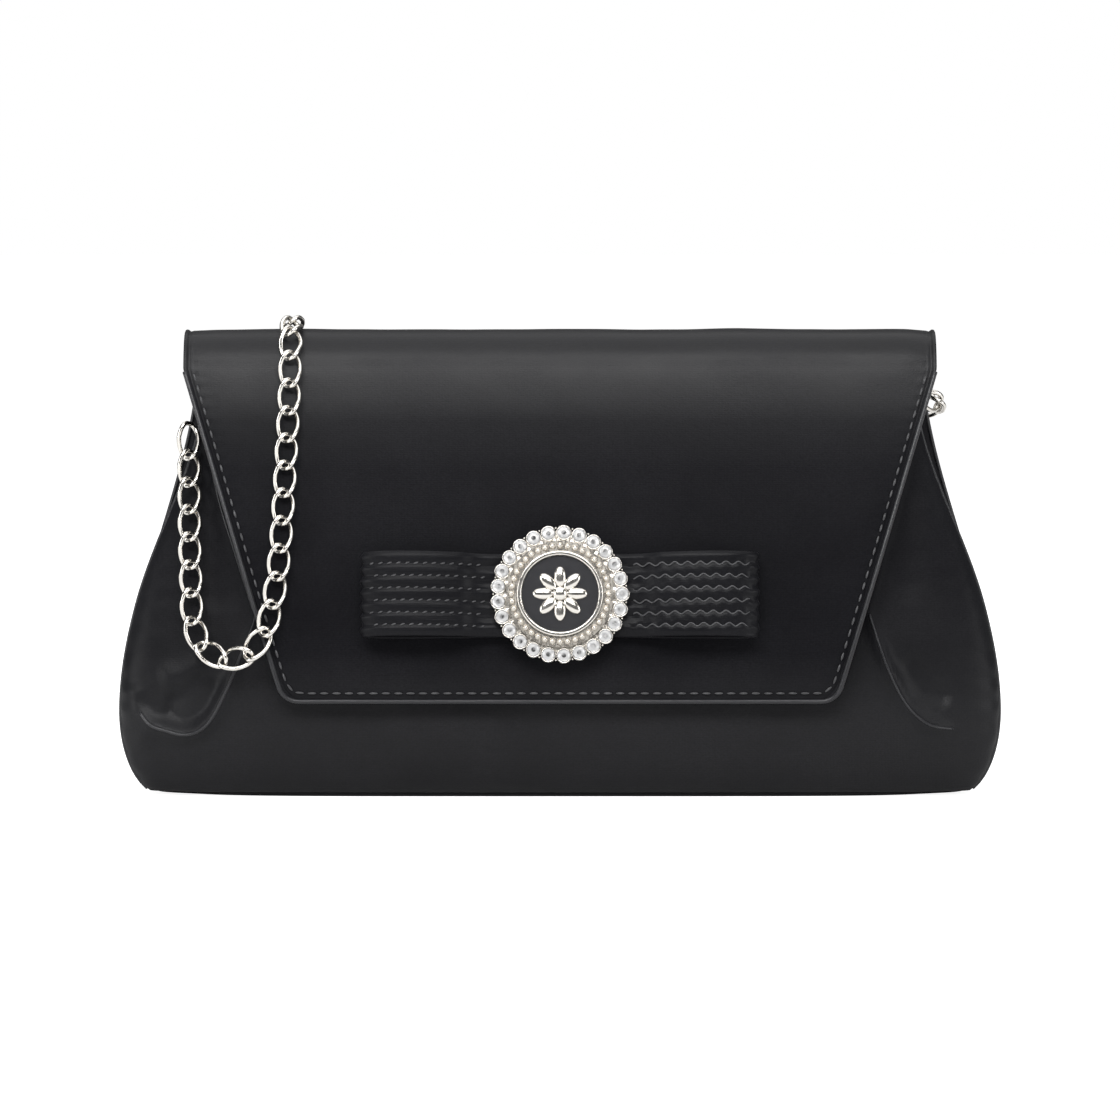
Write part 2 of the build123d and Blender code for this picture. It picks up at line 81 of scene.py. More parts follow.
FLAP_GAP_SWELL = 2.3
FLAP_GAP_TOP_Z = 108
FLAP_GAP_FALL = 60
FLAP_TUCK = 1.0
FLAP_TUCK_Z = 31
FLAP_TUCK_FALL = 8
SNAP_Z = 38.5
TAB_Z = 103.0
BOW_Z = 53.0
BOW_HALF_HEIGHT = 11.2
BOW_STANDOFF = 0.3


def smooth(value):
    clipped = min(1.0, max(0.0, value))
    return clipped * clipped * (3 - 2 * clipped)


def share_up(z):
    return min(1.0, max(0.0, (z - BELLY_Z) / (BODY_TOP_Z - BELLY_Z)))


def belly_round(z):
    low = max(0.0, 1 - z / BELLY_Z)
    return sqrt(max(0.0, 1 - low * low))


def half_width(z):
    if z < BELLY_Z:
        return BASE_HALF_WIDTH + (BELLY_HALF_WIDTH - BASE_HALF_WIDTH) * belly_round(z)
    return BELLY_HALF_WIDTH - (BELLY_HALF_WIDTH - TOP_HALF_WIDTH) * smooth(share_up(z))


def front_half_width(z):
    return half_width(z) - FRONT_EDGE_STEP * smooth((z - FRONT_STEP_LOW_Z) / FRONT_STEP_RISE)


def depth(z, belly, power):
    if z < BELLY_Z:
        return BASE_DEPTH + (belly - BASE_DEPTH) * belly_round(z)
    return belly - (belly - TOP_DEPTH) * share_up(z) ** power


def front_depth(z):
    return depth(z, BELLY_FRONT_DEPTH, FRONT_POWER)


def back_depth(z):
    return depth(z, BELLY_BACK_DEPTH, BACK_POWER)


def side_depth(z):
    if z < BELLY_Z:
        return BASE_SIDE_DEPTH + (BELLY_SIDE_DEPTH - BASE_SIDE_DEPTH) * belly_round(z)
    return BELLY_SIDE_DEPTH - (BELLY_SIDE_DEPTH - TOP_SIDE_DEPTH) * smooth(share_up(z))


def fold_depth(z):
    return LOW_FOLD + (TOP_FOLD - LOW_FOLD) * smooth(share_up(z))


def plan_fullness(share):
    return sqrt(max(0.0, 1 - min(1.0, abs(share)) ** PLAN_POWER))


def signed_power(value, power):
    return (1 if value > 0 else -1) * abs(value) ** power


def flap_gap(z):
    swell = FLAP_GAP_SWELL * smooth((FLAP_GAP_TOP_Z - z) / FLAP_GAP_FALL)
    return FLAP_GAP_TOP + swell - FLAP_TUCK * smooth((FLAP_TUCK_Z - z) / FLAP_TUCK_FALL)


def flap_face_y(z):
    return -(front_depth(z) + flap_gap(z) + FLAP_THICK)


# ---- mesh helpers ----
def loose_piece(name, points, faces, material, shade_smooth=True):
    """A mesh from points in millimetres, on no body yet."""
    mesh = bpy.data.meshes.new(name)
    mesh.from_pydata([(x * MM, y * MM, z * MM) for x, y, z in points], [], faces)
    mesh.validate()
    piece = bpy.data.objects.new(name, mesh)
    bpy.context.scene.collection.objects.link(piece)
    mesh.materials.append(material)
    for face in mesh.polygons:
        face.use_smooth = shade_smooth
    return piece


def new_piece(name, points, faces, body, material, shade_smooth=True):
    """A mesh piece that moves with one body."""
    piece = loose_piece(name, points, faces, material, shade_smooth)
    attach(piece, body)
    return piece


def grid_faces(rows, columns, wrap=False):
    faces = []
    for i in range(rows - 1):
        for j in range(columns if wrap else columns - 1):
            k = (j + 1) % columns
            faces.append((i * columns + j, i * columns + k, (i + 1) * columns + k, (i + 1) * columns + j))
    return faces


def grid_piece(name, grid, body, material, wrap=False, flip=False):
    """A sheet from rows of points; wrap joins each row's end to its start."""
    columns = len(grid[0])
    faces = grid_faces(len(grid), columns, wrap)
    if flip:
        faces = [face[::-1] for face in faces]
    return new_piece(name, [p for row in grid for p in row], faces, body, material)


def thicken(piece, thickness, levels=1, offset=-1.0):
    """Cloth thickness, with the edge rounded if levels is not 0."""
    solid = piece.modifiers.new("thickness", "SOLIDIFY")
    solid.thickness = thickness * MM
    solid.offset = offset
    if levels:
        subdivision = piece.modifiers.new("round", "SUBSURF")
        subdivision.levels = levels
        subdivision.render_levels = levels


def catmull(points, per_span):
    """A smooth line through points."""
    padded = [points[0]] + list(points) + [points[-1]]
    line = []
    for i in range(1, len(padded) - 2):
        p0, p1, p2, p3 = (Vector(p) for p in padded[i - 1 : i + 3])
        for step in range(per_span):
            t = step / per_span
            line.append(0.5 * (2 * p1 + (p2 - p0) * t + (2 * p0 - 5 * p1 + 4 * p2 - p3) * t * t
                               + (3 * p1 - p0 - 3 * p2 + p3) * t * t * t))
    line.append(Vector(padded[-2]))
    return line


def evenly(line, pitch):
    """Points one pitch apart along a line of points."""
    placed = [line[0]]
    left = pitch
    for a, b in zip(line, line[1:]):
        run = (b - a).length
        gone = 0.0
        while run - gone >= left:
            gone += left
            placed.append(a + (b - a) * (gone / run))
            left = pitch
        left -= run - gone
    return placed


def cord(name, line, radius, body, material, sides=8):
    """A round cord along a line of points."""
    points = []
    for i, here in enumerate(line):
        ahead = (line[min(len(line) - 1, i + 1)] - line[max(0, i - 1)]).normalized()
        across = ahead.cross(Vector((0, 1, 0.3))).normalized()
        out = across.cross(ahead)
        for side in range(sides):
            angle = 2 * pi * side / sides
            points.append(here + radius * (cos(angle) * across + sin(angle) * out))
    faces = grid_faces(len(line), sides, True)
    faces.append(tuple(range(sides))[::-1])
    faces.append(tuple(range((len(line) - 1) * sides, len(line) * sides)))
    return new_piece(name, points, faces, body, material)


def stitches(name, places, size, body, material, rings=5, sides=6):
    """Short thread stitches: each place is (centre, direction, outward)."""
    length, width, height = size
    points, faces = [], []
    for centre, along, outward in places:
        along = along.normalized()
        across = along.cross(outward).normalized()
        up = across.cross(along).normalized()
        start = len(points)
        for ring in range(rings + 1):
            angle = pi * ring / rings
            for side in range(sides):
                turn = 2 * pi * side / sides
                points.append(centre - along * (length / 2 * cos(angle))
                              + across * (width / 2 * sin(angle) * cos(turn))
                              + up * (height / 2 * sin(angle) * sin(turn)))
        for ring in range(rings):
            for side in range(sides):
                k = (side + 1) % sides
                faces.append((start + ring * sides + side, start + ring * sides + k,
                              start + (ring + 1) * sides + k, start + (ring + 1) * sides + side))
    return new_piece(name, points, faces, body, material)


def to_segment(x, z, line):
    """Distance from (x, z) to a broken line, and how far along it that is, 0 to 1."""
    best, where = 1e9, 0.0
    for i, ((x0, z0), (x1, z1)) in enumerate(zip(line, line[1:])):
        run = (x1 - x0) ** 2 + (z1 - z0) ** 2
        t = min(1.0, max(0.0, ((x - x0) * (x1 - x0) + (z - z0) * (z1 - z0)) / run))
        away = hypot(x - x0 - t * (x1 - x0), z - z0 - t * (z1 - z0))
        if away < best:
            best, where = away, (i + t) / (len(line) - 1)
    return best, where


def ridge(away, shape):
    """Height of a rounded ridge or groove; shape is (height, place, width)."""
    height, place, width = shape
    return height * exp(-(((away - place) / width) ** 2))


def ruffle(x, y, z, scale, amount):
    """Slow, repeatable unevenness."""
    return amount * noise.noise(Vector((x / scale, y / scale, z / scale)))


# ---- node materials ----
def material(name):
    made = bpy.data.materials.new(name)
    made.use_nodes = True
    nodes, links = made.node_tree.nodes, made.node_tree.links
    return made, nodes, links, nodes["Principled BSDF"]


def noise_node(nodes, links, coords, scale, detail=2.0, stretch=(1, 1, 1)):
    mapping = nodes.new("ShaderNodeMapping")
    mapping.inputs["Scale"].default_value = stretch
    links.new(coords.outputs["Object"], mapping.inputs["Vector"])
    texture = nodes.new("ShaderNodeTexNoise")
    texture.inputs["Scale"].default_value = scale
    texture.inputs["Detail"].default_value = detail
    links.new(mapping.outputs["Vector"], texture.inputs["Vector"])
    return texture


def ramp_node(nodes, links, source, low, high, low_value, high_value):
    ramp = nodes.new("ShaderNodeMapRange")
    ramp.inputs["From Min"].default_value = low
    ramp.inputs["From Max"].default_value = high
    ramp.inputs["To Min"].default_value = low_value
    ramp.inputs["To Max"].default_value = high_value
    links.new(source, ramp.inputs["Value"])
    return ramp


def wave_node(nodes, links, coords, scale, direction, distortion):
    wave = nodes.new("ShaderNodeTexWave")
    wave.bands_direction = direction
    wave.inputs["Scale"].default_value = scale
    wave.inputs["Distortion"].default_value = distortion
    wave.inputs["Detail"].default_value = 1.0
    links.new(coords.outputs["Object"], wave.inputs["Vector"])
    return wave


def math_node(nodes, links, operation, first, second):
    """A sum or product of a socket with another socket or with a number."""
    node = nodes.new("ShaderNodeMath")
    node.operation = operation
    links.new(first, node.inputs[0])
    if isinstance(second, float):
        node.inputs[1].default_value = second
    else:
        links.new(second, node.inputs[1])
    return node.outputs["Value"]


def bump_node(nodes, links, height, strength, distance):
    bump = nodes.new("ShaderNodeBump")
    bump.inputs["Strength"].default_value = strength
    bump.inputs["Distance"].default_value = distance
    links.new(height, bump.inputs["Height"])
    return bump


# divides threads per metre to give the wave texture's scale
WAVE_DIVISOR = 6.2
WEFT_SHARE = 0.8
THREAD_WOBBLE = 0.6
SLUB_SCALE = 2600
TONE_SCALE = 38
CREASE_SCALE = 120
WEAVE_SHARE = 0.3
WEAVE_RELIEF = 0.00012
CREASE_STRENGTH = 0.10
CREASE_RELIEF = 0.001
SHEEN_ROUGHNESS = 0.45
NOISE_LOW = 0.3
NOISE_HIGH = 0.7
METAL_GRAIN = 900
METAL_TONE_SCALE = 160
METAL_DARKER = 0.86
METAL_BUMP = 0.06
METAL_RELIEF = 0.00005
GLOSS_SPAN = 126.0
# gloss by height, in mm: painted highlight bands and painted shade for the body's satin and the flap's
BODY_PAINTED_GLOSS = [(0, 0.2), (24, 0.2), (38, 0.12), (60, 0.05), (100, 0.05), (126, 0.1)]
FLAP_PAINTED_GLOSS = [(0, 0.06), (30, 0.1), (38, 0.02), (50, 0.02), (86, 0.025), (98, 0.07), (106, 0.2), (112, 0.3),
              (117, 0.24), (126, 0.2)]


def cloth_material(name, dark, light, roughness, thread_mm, weave_depth, sheen, gloss=0.3):
    """Woven cloth: crossing threads, slub, a slow change of tone and a soft sheen."""
    made, nodes, links, shader = material(name)
    coords = nodes.new("ShaderNodeTexCoord")
    wave_scale = 1000 / thread_mm / WAVE_DIVISOR
    warp = wave_node(nodes, links, coords, wave_scale, "X", THREAD_WOBBLE)
    weft = wave_node(nodes, links, coords, wave_scale * WEFT_SHARE, "Z", THREAD_WOBBLE)
    weave = math_node(nodes, links, "MULTIPLY", warp.outputs["Fac"], weft.outputs["Fac"])
    slub = noise_node(nodes, links, coords, SLUB_SCALE, 3.0, (0.6, 1, 1))
    tone = noise_node(nodes, links, coords, TONE_SCALE, 3.0)
    faint = math_node(nodes, links, "MULTIPLY", weave, WEAVE_SHARE)
    mixed = math_node(nodes, links, "ADD", slub.outputs["Fac"], faint)
    colour = nodes.new("ShaderNodeMix")
    colour.data_type = "RGBA"
    colour.inputs["A"].default_value = (*dark, 1)
    colour.inputs["B"].default_value = (*light, 1)
    tone_range = ramp_node(nodes, links, tone.outputs["Fac"], NOISE_LOW, NOISE_HIGH, 0.45, 1.0)
    blend = math_node(nodes, links, "MULTIPLY", mixed, tone_range.outputs["Result"])
    links.new(blend, colour.inputs["Factor"])
    links.new(colour.outputs["Result"], shader.inputs["Base Color"])
    low, high = roughness - 0.04, roughness + 0.05
    rough = ramp_node(nodes, links, tone.outputs["Fac"], NOISE_LOW, NOISE_HIGH, low, high)
    links.new(rough.outputs["Result"], shader.inputs["Roughness"])
    bump = bump_node(nodes, links, mixed, weave_depth, WEAVE_RELIEF)
    crease = noise_node(nodes, links, coords, CREASE_SCALE, 4.0)
    soft = bump_node(nodes, links, crease.outputs["Fac"], CREASE_STRENGTH, CREASE_RELIEF)
    links.new(bump.outputs["Normal"], soft.inputs["Normal"])
    links.new(soft.outputs["Normal"], shader.inputs["Normal"])
    shader.inputs["Sheen Weight"].default_value = sheen
    shader.inputs["Sheen Roughness"].default_value = SHEEN_ROUGHNESS
    shader.inputs["Specular IOR Level"].default_value = gloss
    return made


def painted_gloss_by_height(made, stops):
    """Painted highlight and shade: gloss by height, high in lit bands, low in shade; stops are (z in mm,
    gloss).
    """
    nodes, links = made.node_tree.nodes, made.node_tree.links
    coords = nodes.new("ShaderNodeTexCoord")
    split = nodes.new("ShaderNodeSeparateXYZ")
    links.new(coords.outputs["Object"], split.inputs["Vector"])
    share = ramp_node(nodes, links, split.outputs["Z"], 0.0, GLOSS_SPAN * MM, 0.0, 1.0)
    ramp = nodes.new("ShaderNodeValToRGB")
    elements = ramp.color_ramp.elements
    elements[0].position, elements[1].position = 0.0, 1.0
    elements[0].color = (stops[0][1],) * 3 + (1,)
    elements[1].color = (stops[-1][1],) * 3 + (1,)
    for z, gloss in stops[1:-1]:
        elements.new(z / GLOSS_SPAN).color = (gloss,) * 3 + (1,)
    links.new(share.outputs["Result"], ramp.inputs["Fac"])
    links.new(ramp.outputs["Color"], nodes["Principled BSDF"].inputs["Specular IOR Level"])


def metal_material(name, colour, roughness):
    """Plated metal with fine handling marks and a slightly uneven polish."""
    made, nodes, links, shader = material(name)
    coords = nodes.new("ShaderNodeTexCoord")
    marks = noise_node(nodes, links, coords, METAL_GRAIN, 4.0, (1, 1, 0.3))
    slow = noise_node(nodes, links, coords, METAL_TONE_SCALE, 2.0)
    mix = nodes.new("ShaderNodeMix")
    mix.data_type = "RGBA"
    mix.inputs["A"].default_value = (*[c * METAL_DARKER for c in colour], 1)
    mix.inputs["B"].default_value = (*colour, 1)
    links.new(slow.outputs["Fac"], mix.inputs["Factor"])
    links.new(mix.outputs["Result"], shader.inputs["Base Color"])
    low, high = roughness * 0.75, roughness * 1.35
    rough = ramp_node(nodes, links, marks.outputs["Fac"], NOISE_LOW, NOISE_HIGH, low, high)
    links.new(rough.outputs["Result"], shader.inputs["Roughness"])
    bump = bump_node(nodes, links, marks.outputs["Fac"], METAL_BUMP, METAL_RELIEF)
    links.new(bump.outputs["Normal"], shader.inputs["Normal"])
    shader.inputs["Metallic"].default_value = 1.0
    return made


def smooth_material(name, colour, scale, detail, rough_low, rough_high):
    """A smooth coat whose polish is uneven; its shader is returned for further settings."""
    made, nodes, links, shader = material(name)
    coords = nodes.new("ShaderNodeTexCoord")
    patches = noise_node(nodes, links, coords, scale, detail)
    rough = ramp_node(nodes, links, patches.outputs["Fac"], NOISE_LOW, NOISE_HIGH, rough_low, rough_high)
    links.new(rough.outputs["Result"], shader.inputs["Roughness"])
    shader.inputs["Base Color"].default_value = (*colour, 1)
    return made, shader


SATIN_DARK = (0.004, 0.004, 0.005)
SATIN_LIGHT = (0.014, 0.014, 0.016)
satin = cloth_material("black_satin", SATIN_DARK, SATIN_LIGHT, 0.46, 0.2, 0.3, 0.01, 0.2)
flap_satin = cloth_material("flap_satin", SATIN_DARK, SATIN_LIGHT, 0.46, 0.2, 0.3, 0.01, 0.2)
# the flap's satin is a copy of the body's satin that differs only in its painted highlight and shade
painted_gloss_by_height(satin, BODY_PAINTED_GLOSS)
painted_gloss_by_height(flap_satin, FLAP_PAINTED_GLOSS)
BOW_LIGHT = (0.012, 0.012, 0.014)
# lighter, glossier satin for the rolled edge, fold crests and seams: painted highlight where these rounded
# edges catch the light
EDGE_HIGHLIGHT_DARK = (0.008, 0.008, 0.01)
EDGE_HIGHLIGHT_LIGHT = (0.024, 0.024, 0.027)
bow_satin = cloth_material("bow_satin", SATIN_DARK, BOW_LIGHT, 0.32, 0.2, 0.3, 0.01, 0.1)
painted_highlight_satin = cloth_material("edge_painted_highlight_satin", EDGE_HIGHLIGHT_DARK, EDGE_HIGHLIGHT_LIGHT, 0.32, 0.2, 0.3, 0.02, 0.45)
lining_cloth = cloth_material("lining_weave", (0.008, 0.008, 0.009), (0.03, 0.03, 0.034), 0.62, 0.4, 0.5, 0.1)
thread = cloth_material("stitch_thread", (0.02, 0.02, 0.022), (0.09, 0.09, 0.095), 0.34, 0.18, 0.7, 0.05, 0.5)
board_card = cloth_material("board_card", (0.2, 0.17, 0.13), (0.34, 0.3, 0.24), 0.85, 0.8, 0.3, 0.0)
felt = cloth_material("felt_padding", (0.3, 0.3, 0.28), (0.55, 0.55, 0.52), 0.9, 0.5, 0.8, 0.5)
silver = metal_material("pale_silver", (0.82, 0.79, 0.74), 0.17)
ring_silver = metal_material("warm_silver", (0.66, 0.62, 0.56), 0.24)
steel = metal_material("snap_steel", (0.5, 0.5, 0.5), 0.3)

enamel, shader = smooth_material("black_enamel", (0.03, 0.03, 0.033), 300, 3.0, 0.1, 0.22)
shader.inputs["Coat Weight"].default_value = 0.8
shader.inputs["Coat Roughness"].default_value = 0.06

gem, shader = smooth_material("clear_stone", (0.95, 0.96, 0.98), 700, 2.0, 0.0, 0.05)
shader.inputs["Transmission Weight"].default_value = 0.55
shader.inputs["IOR"].default_value = 1.9
shader.inputs["Specular IOR Level"].default_value = 0.9

# painted reflection with painted glints, for the grey centres of the stones
stone_reflection, nodes, links, shader = material("stone_painted_reflection")
coords = nodes.new("ShaderNodeTexCoord")
painted_glint = noise_node(nodes, links, coords, 900, 2.0)
painted_glint_tone = ramp_node(nodes, links, painted_glint.outputs["Fac"], 0.35, 0.65, 0.06, 0.4)
links.new(painted_glint_tone.outputs["Result"], shader.inputs["Base Color"])
shader.inputs["Roughness"].default_value = 0.12

magnet_coat, shader = smooth_material("magnet_coat", (0.02, 0.02, 0.022), 1500, 3.0, 0.3, 0.55)

for node, made in {
    "base_board": board_card,
    "back_board": board_card,
    "flap_board": board_card,
    "front_padding": felt,
    "snap_female_case": steel,
    "snap_magnet": magnet_coat,
    "snap_female_washer": steel,
    "snap_male": steel,
    "medallion_plate": ring_silver,
    "medallion_washer": steel,
    "beaded_ring": ring_silver,
    "bezel": silver,
    "enamel_disc": enamel,
    "rosette": silver,
    "ring_left": silver,
    "ring_right": silver,
    "chain_fold_links": silver,
    "chain_flap_strand": silver,
    "chain_side_strand": silver,
    "chain_back_strand": silver,
}.items():
    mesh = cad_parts[node].data
    mesh.materials.clear()
    mesh.materials.append(made)


# ---- soft body panels ----
PANEL_ROWS = 150
PANEL_COLUMNS = 230
# above 1, the rows crowd towards the base
ROW_CROWDING = 1.25
PANEL_THICK = 1.0
GATHER_FADE = 5
SIDE_GATHER = 0.22
LOW_GATHER = 0.2
SEAM_SINK = 0.5
SEAM_SINK_FADE = 1.2
# how deep a dent may go, so that the padding stays covered: at the middle, and added at the sides
DENT_MIDDLE = 0.9
DENT_SIDE_EXTRA = 1.3
SNAP_FLAT_RADIUS = 8
SNAP_EASE = 6
GUSSET_ROWS = 80
GUSSET_COLUMNS = 24
SEAM_RADIUS = 0.55
SEAM_POINTS = 70

# each fold: points (x, z) along it, its height and its width
PLEATS_LEFT = [
    ([(-94.5, 100), (-89.4, 78), (-84.9, 64), (-80.3, 50), (-79.6, 46.8), (-82.4, 39.3),
      (-86.7, 28.7)], 0.7, 1.0),
    ([(-82.4, 39.3), (-86.7, 28.7), (-90.9, 20.7), (-94.7, 17.5), (-98.4, 16.7), (-102.1, 17.5),
      (-106.9, 19.1), (-110.1, 22.8)], 2.3, 2.0),
    ([(-90, 33), (-94, 26), (-99, 23.5), (-104, 25)], -2.0, 3.6),
    ([(-105, 31), (-98, 32.5), (-93, 36)], 0.9, 3.0),
    ([(-112, 30), (-111.5, 22), (-108, 12)], 1.1, 3.0),
    ([(-93, 84), (-91, 62), (-90, 48)], -0.9, 4.0),
    ([(-104, 70), (-107, 52), (-109, 36)], 0.7, 4.0),
    ([(-70, 21), (-40, 17.5), (0, 16.5)], 0.35, 3.0),
]
PLEATS_RIGHT = [
    ([(93.5, 96), (88.6, 78), (84.2, 64), (80.6, 48.1), (85, 35), (90, 25)], 0.6, 1.0),
    ([(80.6, 48.1), (85, 35), (90, 25), (96, 19.5), (103, 18)], 1.5, 2.0),
    ([(90, 38), (96, 29), (103, 26)], -1.3, 3.2),
    ([(92, 88), (90, 66), (91, 50)], -0.9, 4.5),
    ([(103, 74), (107, 54), (110, 38)], 0.6, 4.0),
    ([(70, 20), (40, 17), (0, 16.5)], 0.3, 3.0),
]


def pleat_height(x, z):
    """Folds of the front panel either side of the flap."""
    height = 0.0
    for line, amount, width in PLEATS_LEFT + PLEATS_RIGHT:
        away, where = to_segment(x, z, line)
        taper = min(1.0, 5 * where + 0.15) * min(1.0, 5 * (1 - where) + 0.15)
        height += amount * taper * exp(-((away / width) ** 2))
    return height


def seam_pull(x, z, width):
    """Small gathers along the side seams and the bottom seam."""
    side_away = width - abs(x)
    bottom_away = z - BODY_LOW_Z
    gathers = SIDE_GATHER * exp(-side_away / GATHER_FADE) * sin(z * 0.95 + 0.9 * sin(z * 0.23))
    gathers += LOW_GATHER * exp(-bottom_away / GATHER_FADE) * sin(x * 0.7 + 1.3 * sin(x * 0.11))
    return gathers - SEAM_SINK * exp(-side_away / SEAM_SINK_FADE)


def soft_panel(name, node, direction):
    """The front panel (direction -1) or back panel (1): padded satin, folded and gathered."""
    grid = []
    for i in range(PANEL_ROWS + 1):
        z = BODY_LOW_Z + (BODY_TOP_Z - BODY_LOW_Z) * (i / PANEL_ROWS) ** ROW_CROWDING
        width = front_half_width(z) if direction < 0 else half_width(z)
        full = front_depth(z) if direction < 0 else back_depth(z)
        side = side_depth(z)
        row = []
        for j in range(PANEL_COLUMNS + 1):
            share = sin(pi / 2 * (2 * j / PANEL_COLUMNS - 1))
            x = width * share
            away = side + (full - side) * plan_fullness(share)
            keep = smooth((112 - z) / 12) * smooth(z / 6)
            swell = seam_pull(x, z, width) * keep
            rolling = ruffle(x, direction * 40, z, 26, 0.5)
            rippled = ruffle(x, direction * 40, z, 9, 0.16)
            swell += rolling * keep + rippled * keep
            if direction < 0:
                swell += pleat_height(x, z) * keep
            else:
                swell += 0.25 * exp(-((z - 14) / 6) ** 2) * sin(x * 0.16)
            deepest = DENT_MIDDLE + DENT_SIDE_EXTRA * smooth((abs(share) - 0.83) / 0.07)
            swell = max(swell, -deepest)
            snap_away = hypot(x, z - SNAP_Z)
            if direction < 0 and snap_away < SNAP_FLAT_RADIUS + SNAP_EASE:
                swell *= smooth((snap_away - SNAP_FLAT_RADIUS) / SNAP_EASE)
            row.append((x, direction * (away + swell), z))
        grid.append(row)
    panel = grid_piece(name, grid, "bag", satin, flip=direction > 0)
    thicken(panel, PANEL_THICK, 0)
    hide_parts(node)


soft_panel("soft_front", "front_panel", -1)
soft_panel("soft_back", "back_panel", 1)


def fold_line(name, line, radius):
    """The sharp crest of a fold on the front panel."""
    crest = []
    for point in evenly(catmull([(x, 0, z) for x, z in line], 12), 0.8):
        share = abs(point.x) / front_half_width(point.z)
        side = side_depth(point.z)
        away = side + (front_depth(point.z) - side) * plan_fullness(share)
        crest.append(Vector((point.x, -away - pleat_height(point.x, point.z), point.z)))
    cord(name, crest, radius, "bag", painted_highlight_satin)


fold_line("left_fold_crest", PLEATS_LEFT[1][0], 0.42)
fold_line("left_edge_crease", PLEATS_LEFT[0][0], 0.26)
fold_line("right_fold_crest", PLEATS_RIGHT[1][0], 0.32)


def soft_gusset(name, node, side):
    """Side panel with its middle crease tucked in and soft folds beside the crease."""
    grid = []
    for i in range(GUSSET_ROWS + 1):
        z = BODY_LOW_Z + (BODY_TOP_Z - BODY_LOW_Z) * i / GUSSET_ROWS
        edge = side_depth(z) - 1.2
        row = []
        for j in range(GUSSET_COLUMNS + 1):
            v = 2 * j / GUSSET_COLUMNS - 1
            outer = (front_half_width(z) if v < 0 else half_width(z)) - 0.4
            tuck = (outer - (half_width(z) - fold_depth(z))) * (1 - abs(v)) ** 0.85
            wave = 0.35 * sin(pi * v) * sin(z * 0.35 + side) * smooth((z - 8) / 20)
            uneven = ruffle(side * 90, v * 20, z, 14, 0.5) * (1 - v * v)
            row.append((side * (outer - tuck + uneven + wave), v * edge, z))
        grid.append(row)
    panel = grid_piece(name, grid, "bag", satin, flip=side < 0)
    thicken(panel, 0.9, 1)
    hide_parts(node)


soft_gusset("soft_gusset_left", "gusset_left", -1)
soft_gusset("soft_gusset_right", "gusset_right", 1)


def panel_edge(direction, side):
    """The side seam, as a line of points up the panel's edge."""
    line = []
    for i in range(SEAM_POINTS):
        z = BODY_LOW_Z + 0.6 + (BODY_TOP_Z - BODY_LOW_Z - 1.2) * i / (SEAM_POINTS - 1)
        width = front_half_width(z) if direction < 0 else half_width(z)
        line.append(Vector((side * (width - 0.1), direction * (side_depth(z) - 0.3), z)))
    return line


for direction, where in ((-1, "front"), (1, "back")):
    for side, hand in ((-1, "left"), (1, "right")):
        seam = panel_edge(direction, side)
        cord(f"seam_{where}_{hand}", seam, SEAM_RADIUS, "bag", painted_highlight_satin)

# ---- base ----
BASE_RINGS = 12
BASE_STEPS = 120
BASE_EDGE_WIDTH = BASE_HALF_WIDTH + 2.8
BASE_EDGE_DEPTH = BASE_DEPTH + 2.2
BASE_EDGE_LIFT = 0.5
# the middle hole of the base and of the lining's floor, as a share of the outline
CENTRE_SHARE = 0.02
base_grid = []
for ring in range(BASE_RINGS + 1):
    share = max(CENTRE_SHARE, ring / BASE_RINGS)
    row = []
    for step in range(BASE_STEPS):
        turn = 2 * pi * step / BASE_STEPS
        x = BASE_EDGE_WIDTH * share * signed_power(cos(turn), 0.36)
        y = BASE_EDGE_DEPTH * share * signed_power(sin(turn), 0.62)
        row.append((x, y, 0.0 if ring < BASE_RINGS else BASE_EDGE_LIFT))
    base_grid.append(row)
base = grid_piece("soft_base", base_grid, "bag", satin, wrap=True, flip=True)
thicken(base, 1.0, 0, 1.0)
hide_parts("base_panel")

# ---- lining, facing and pocket ----
LINING_STEPS = 160
LINING_SIDE_GAP = 4.0
LINING_ROWS = 50
LINING_LOW_Z = 3.0
LINING_TOP_Z = 103
FACING_ROWS = 12
FACING_LOW_Z = 103.2
FACING_HEIGHT = 13.2
FACING_TUCK = 0.15
POCKET_ROWS = 30
POCKET_COLUMNS = 40
POCKET_LOW_Z = 45
POCKET_HEIGHT = 50
POCKET_HALF_WIDTH = 46
POCKET_BACK_GAP = 3.75
POCKET_SIDE_GAP = 5.0
POCKET_SLACK = 0.35


def lining_ring(z, tuck):
    """One level of the lining; tuck is how loosely its cloth lies."""
    width = half_width(z) - fold_depth(z) - LINING_SIDE_GAP
    row = []
    for step in range(LINING_STEPS):
        turn = 2 * pi * step / LINING_STEPS
        x = width * signed_power(cos(turn), 2 / PLAN_POWER)
        full = back_depth(z) if sin(turn) > 0 else front_depth(z)
        drape = 0.35 * tuck * sin(turn * 23 + 0.06 * z) + ruffle(x, full, z, 12, 0.5 * tuck)
        row.append((x, (full - LINING_INSET - abs(drape)) * sin(turn), z))
    return row


lining_height = LINING_TOP_Z - LINING_LOW_Z
lining_levels = [LINING_LOW_Z + lining_height * i / LINING_ROWS for i in range(LINING_ROWS + 1)]
lining_grid = [lining_ring(z, smooth((z - 4) / 10)) for z in lining_levels]
floor_ring = lining_grid[0]
for share in (0.8, 0.5, 0.2, CENTRE_SHARE):
    lining_grid.insert(0, [(x * share, y * share, z) for x, y, z in floor_ring])
lining = grid_piece("soft_lining", lining_grid, "bag", lining_cloth, wrap=True)
thicken(lining, 0.5, 0)
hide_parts("lining_bag")

facing_levels = [FACING_LOW_Z + FACING_HEIGHT * i / FACING_ROWS for i in range(FACING_ROWS + 1)]
facing_grid = [lining_ring(z, FACING_TUCK) for z in facing_levels]
facing = grid_piece("soft_facing", facing_grid, "bag", satin, wrap=True)
thicken(facing, 0.6, 0)
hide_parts("mouth_facing")

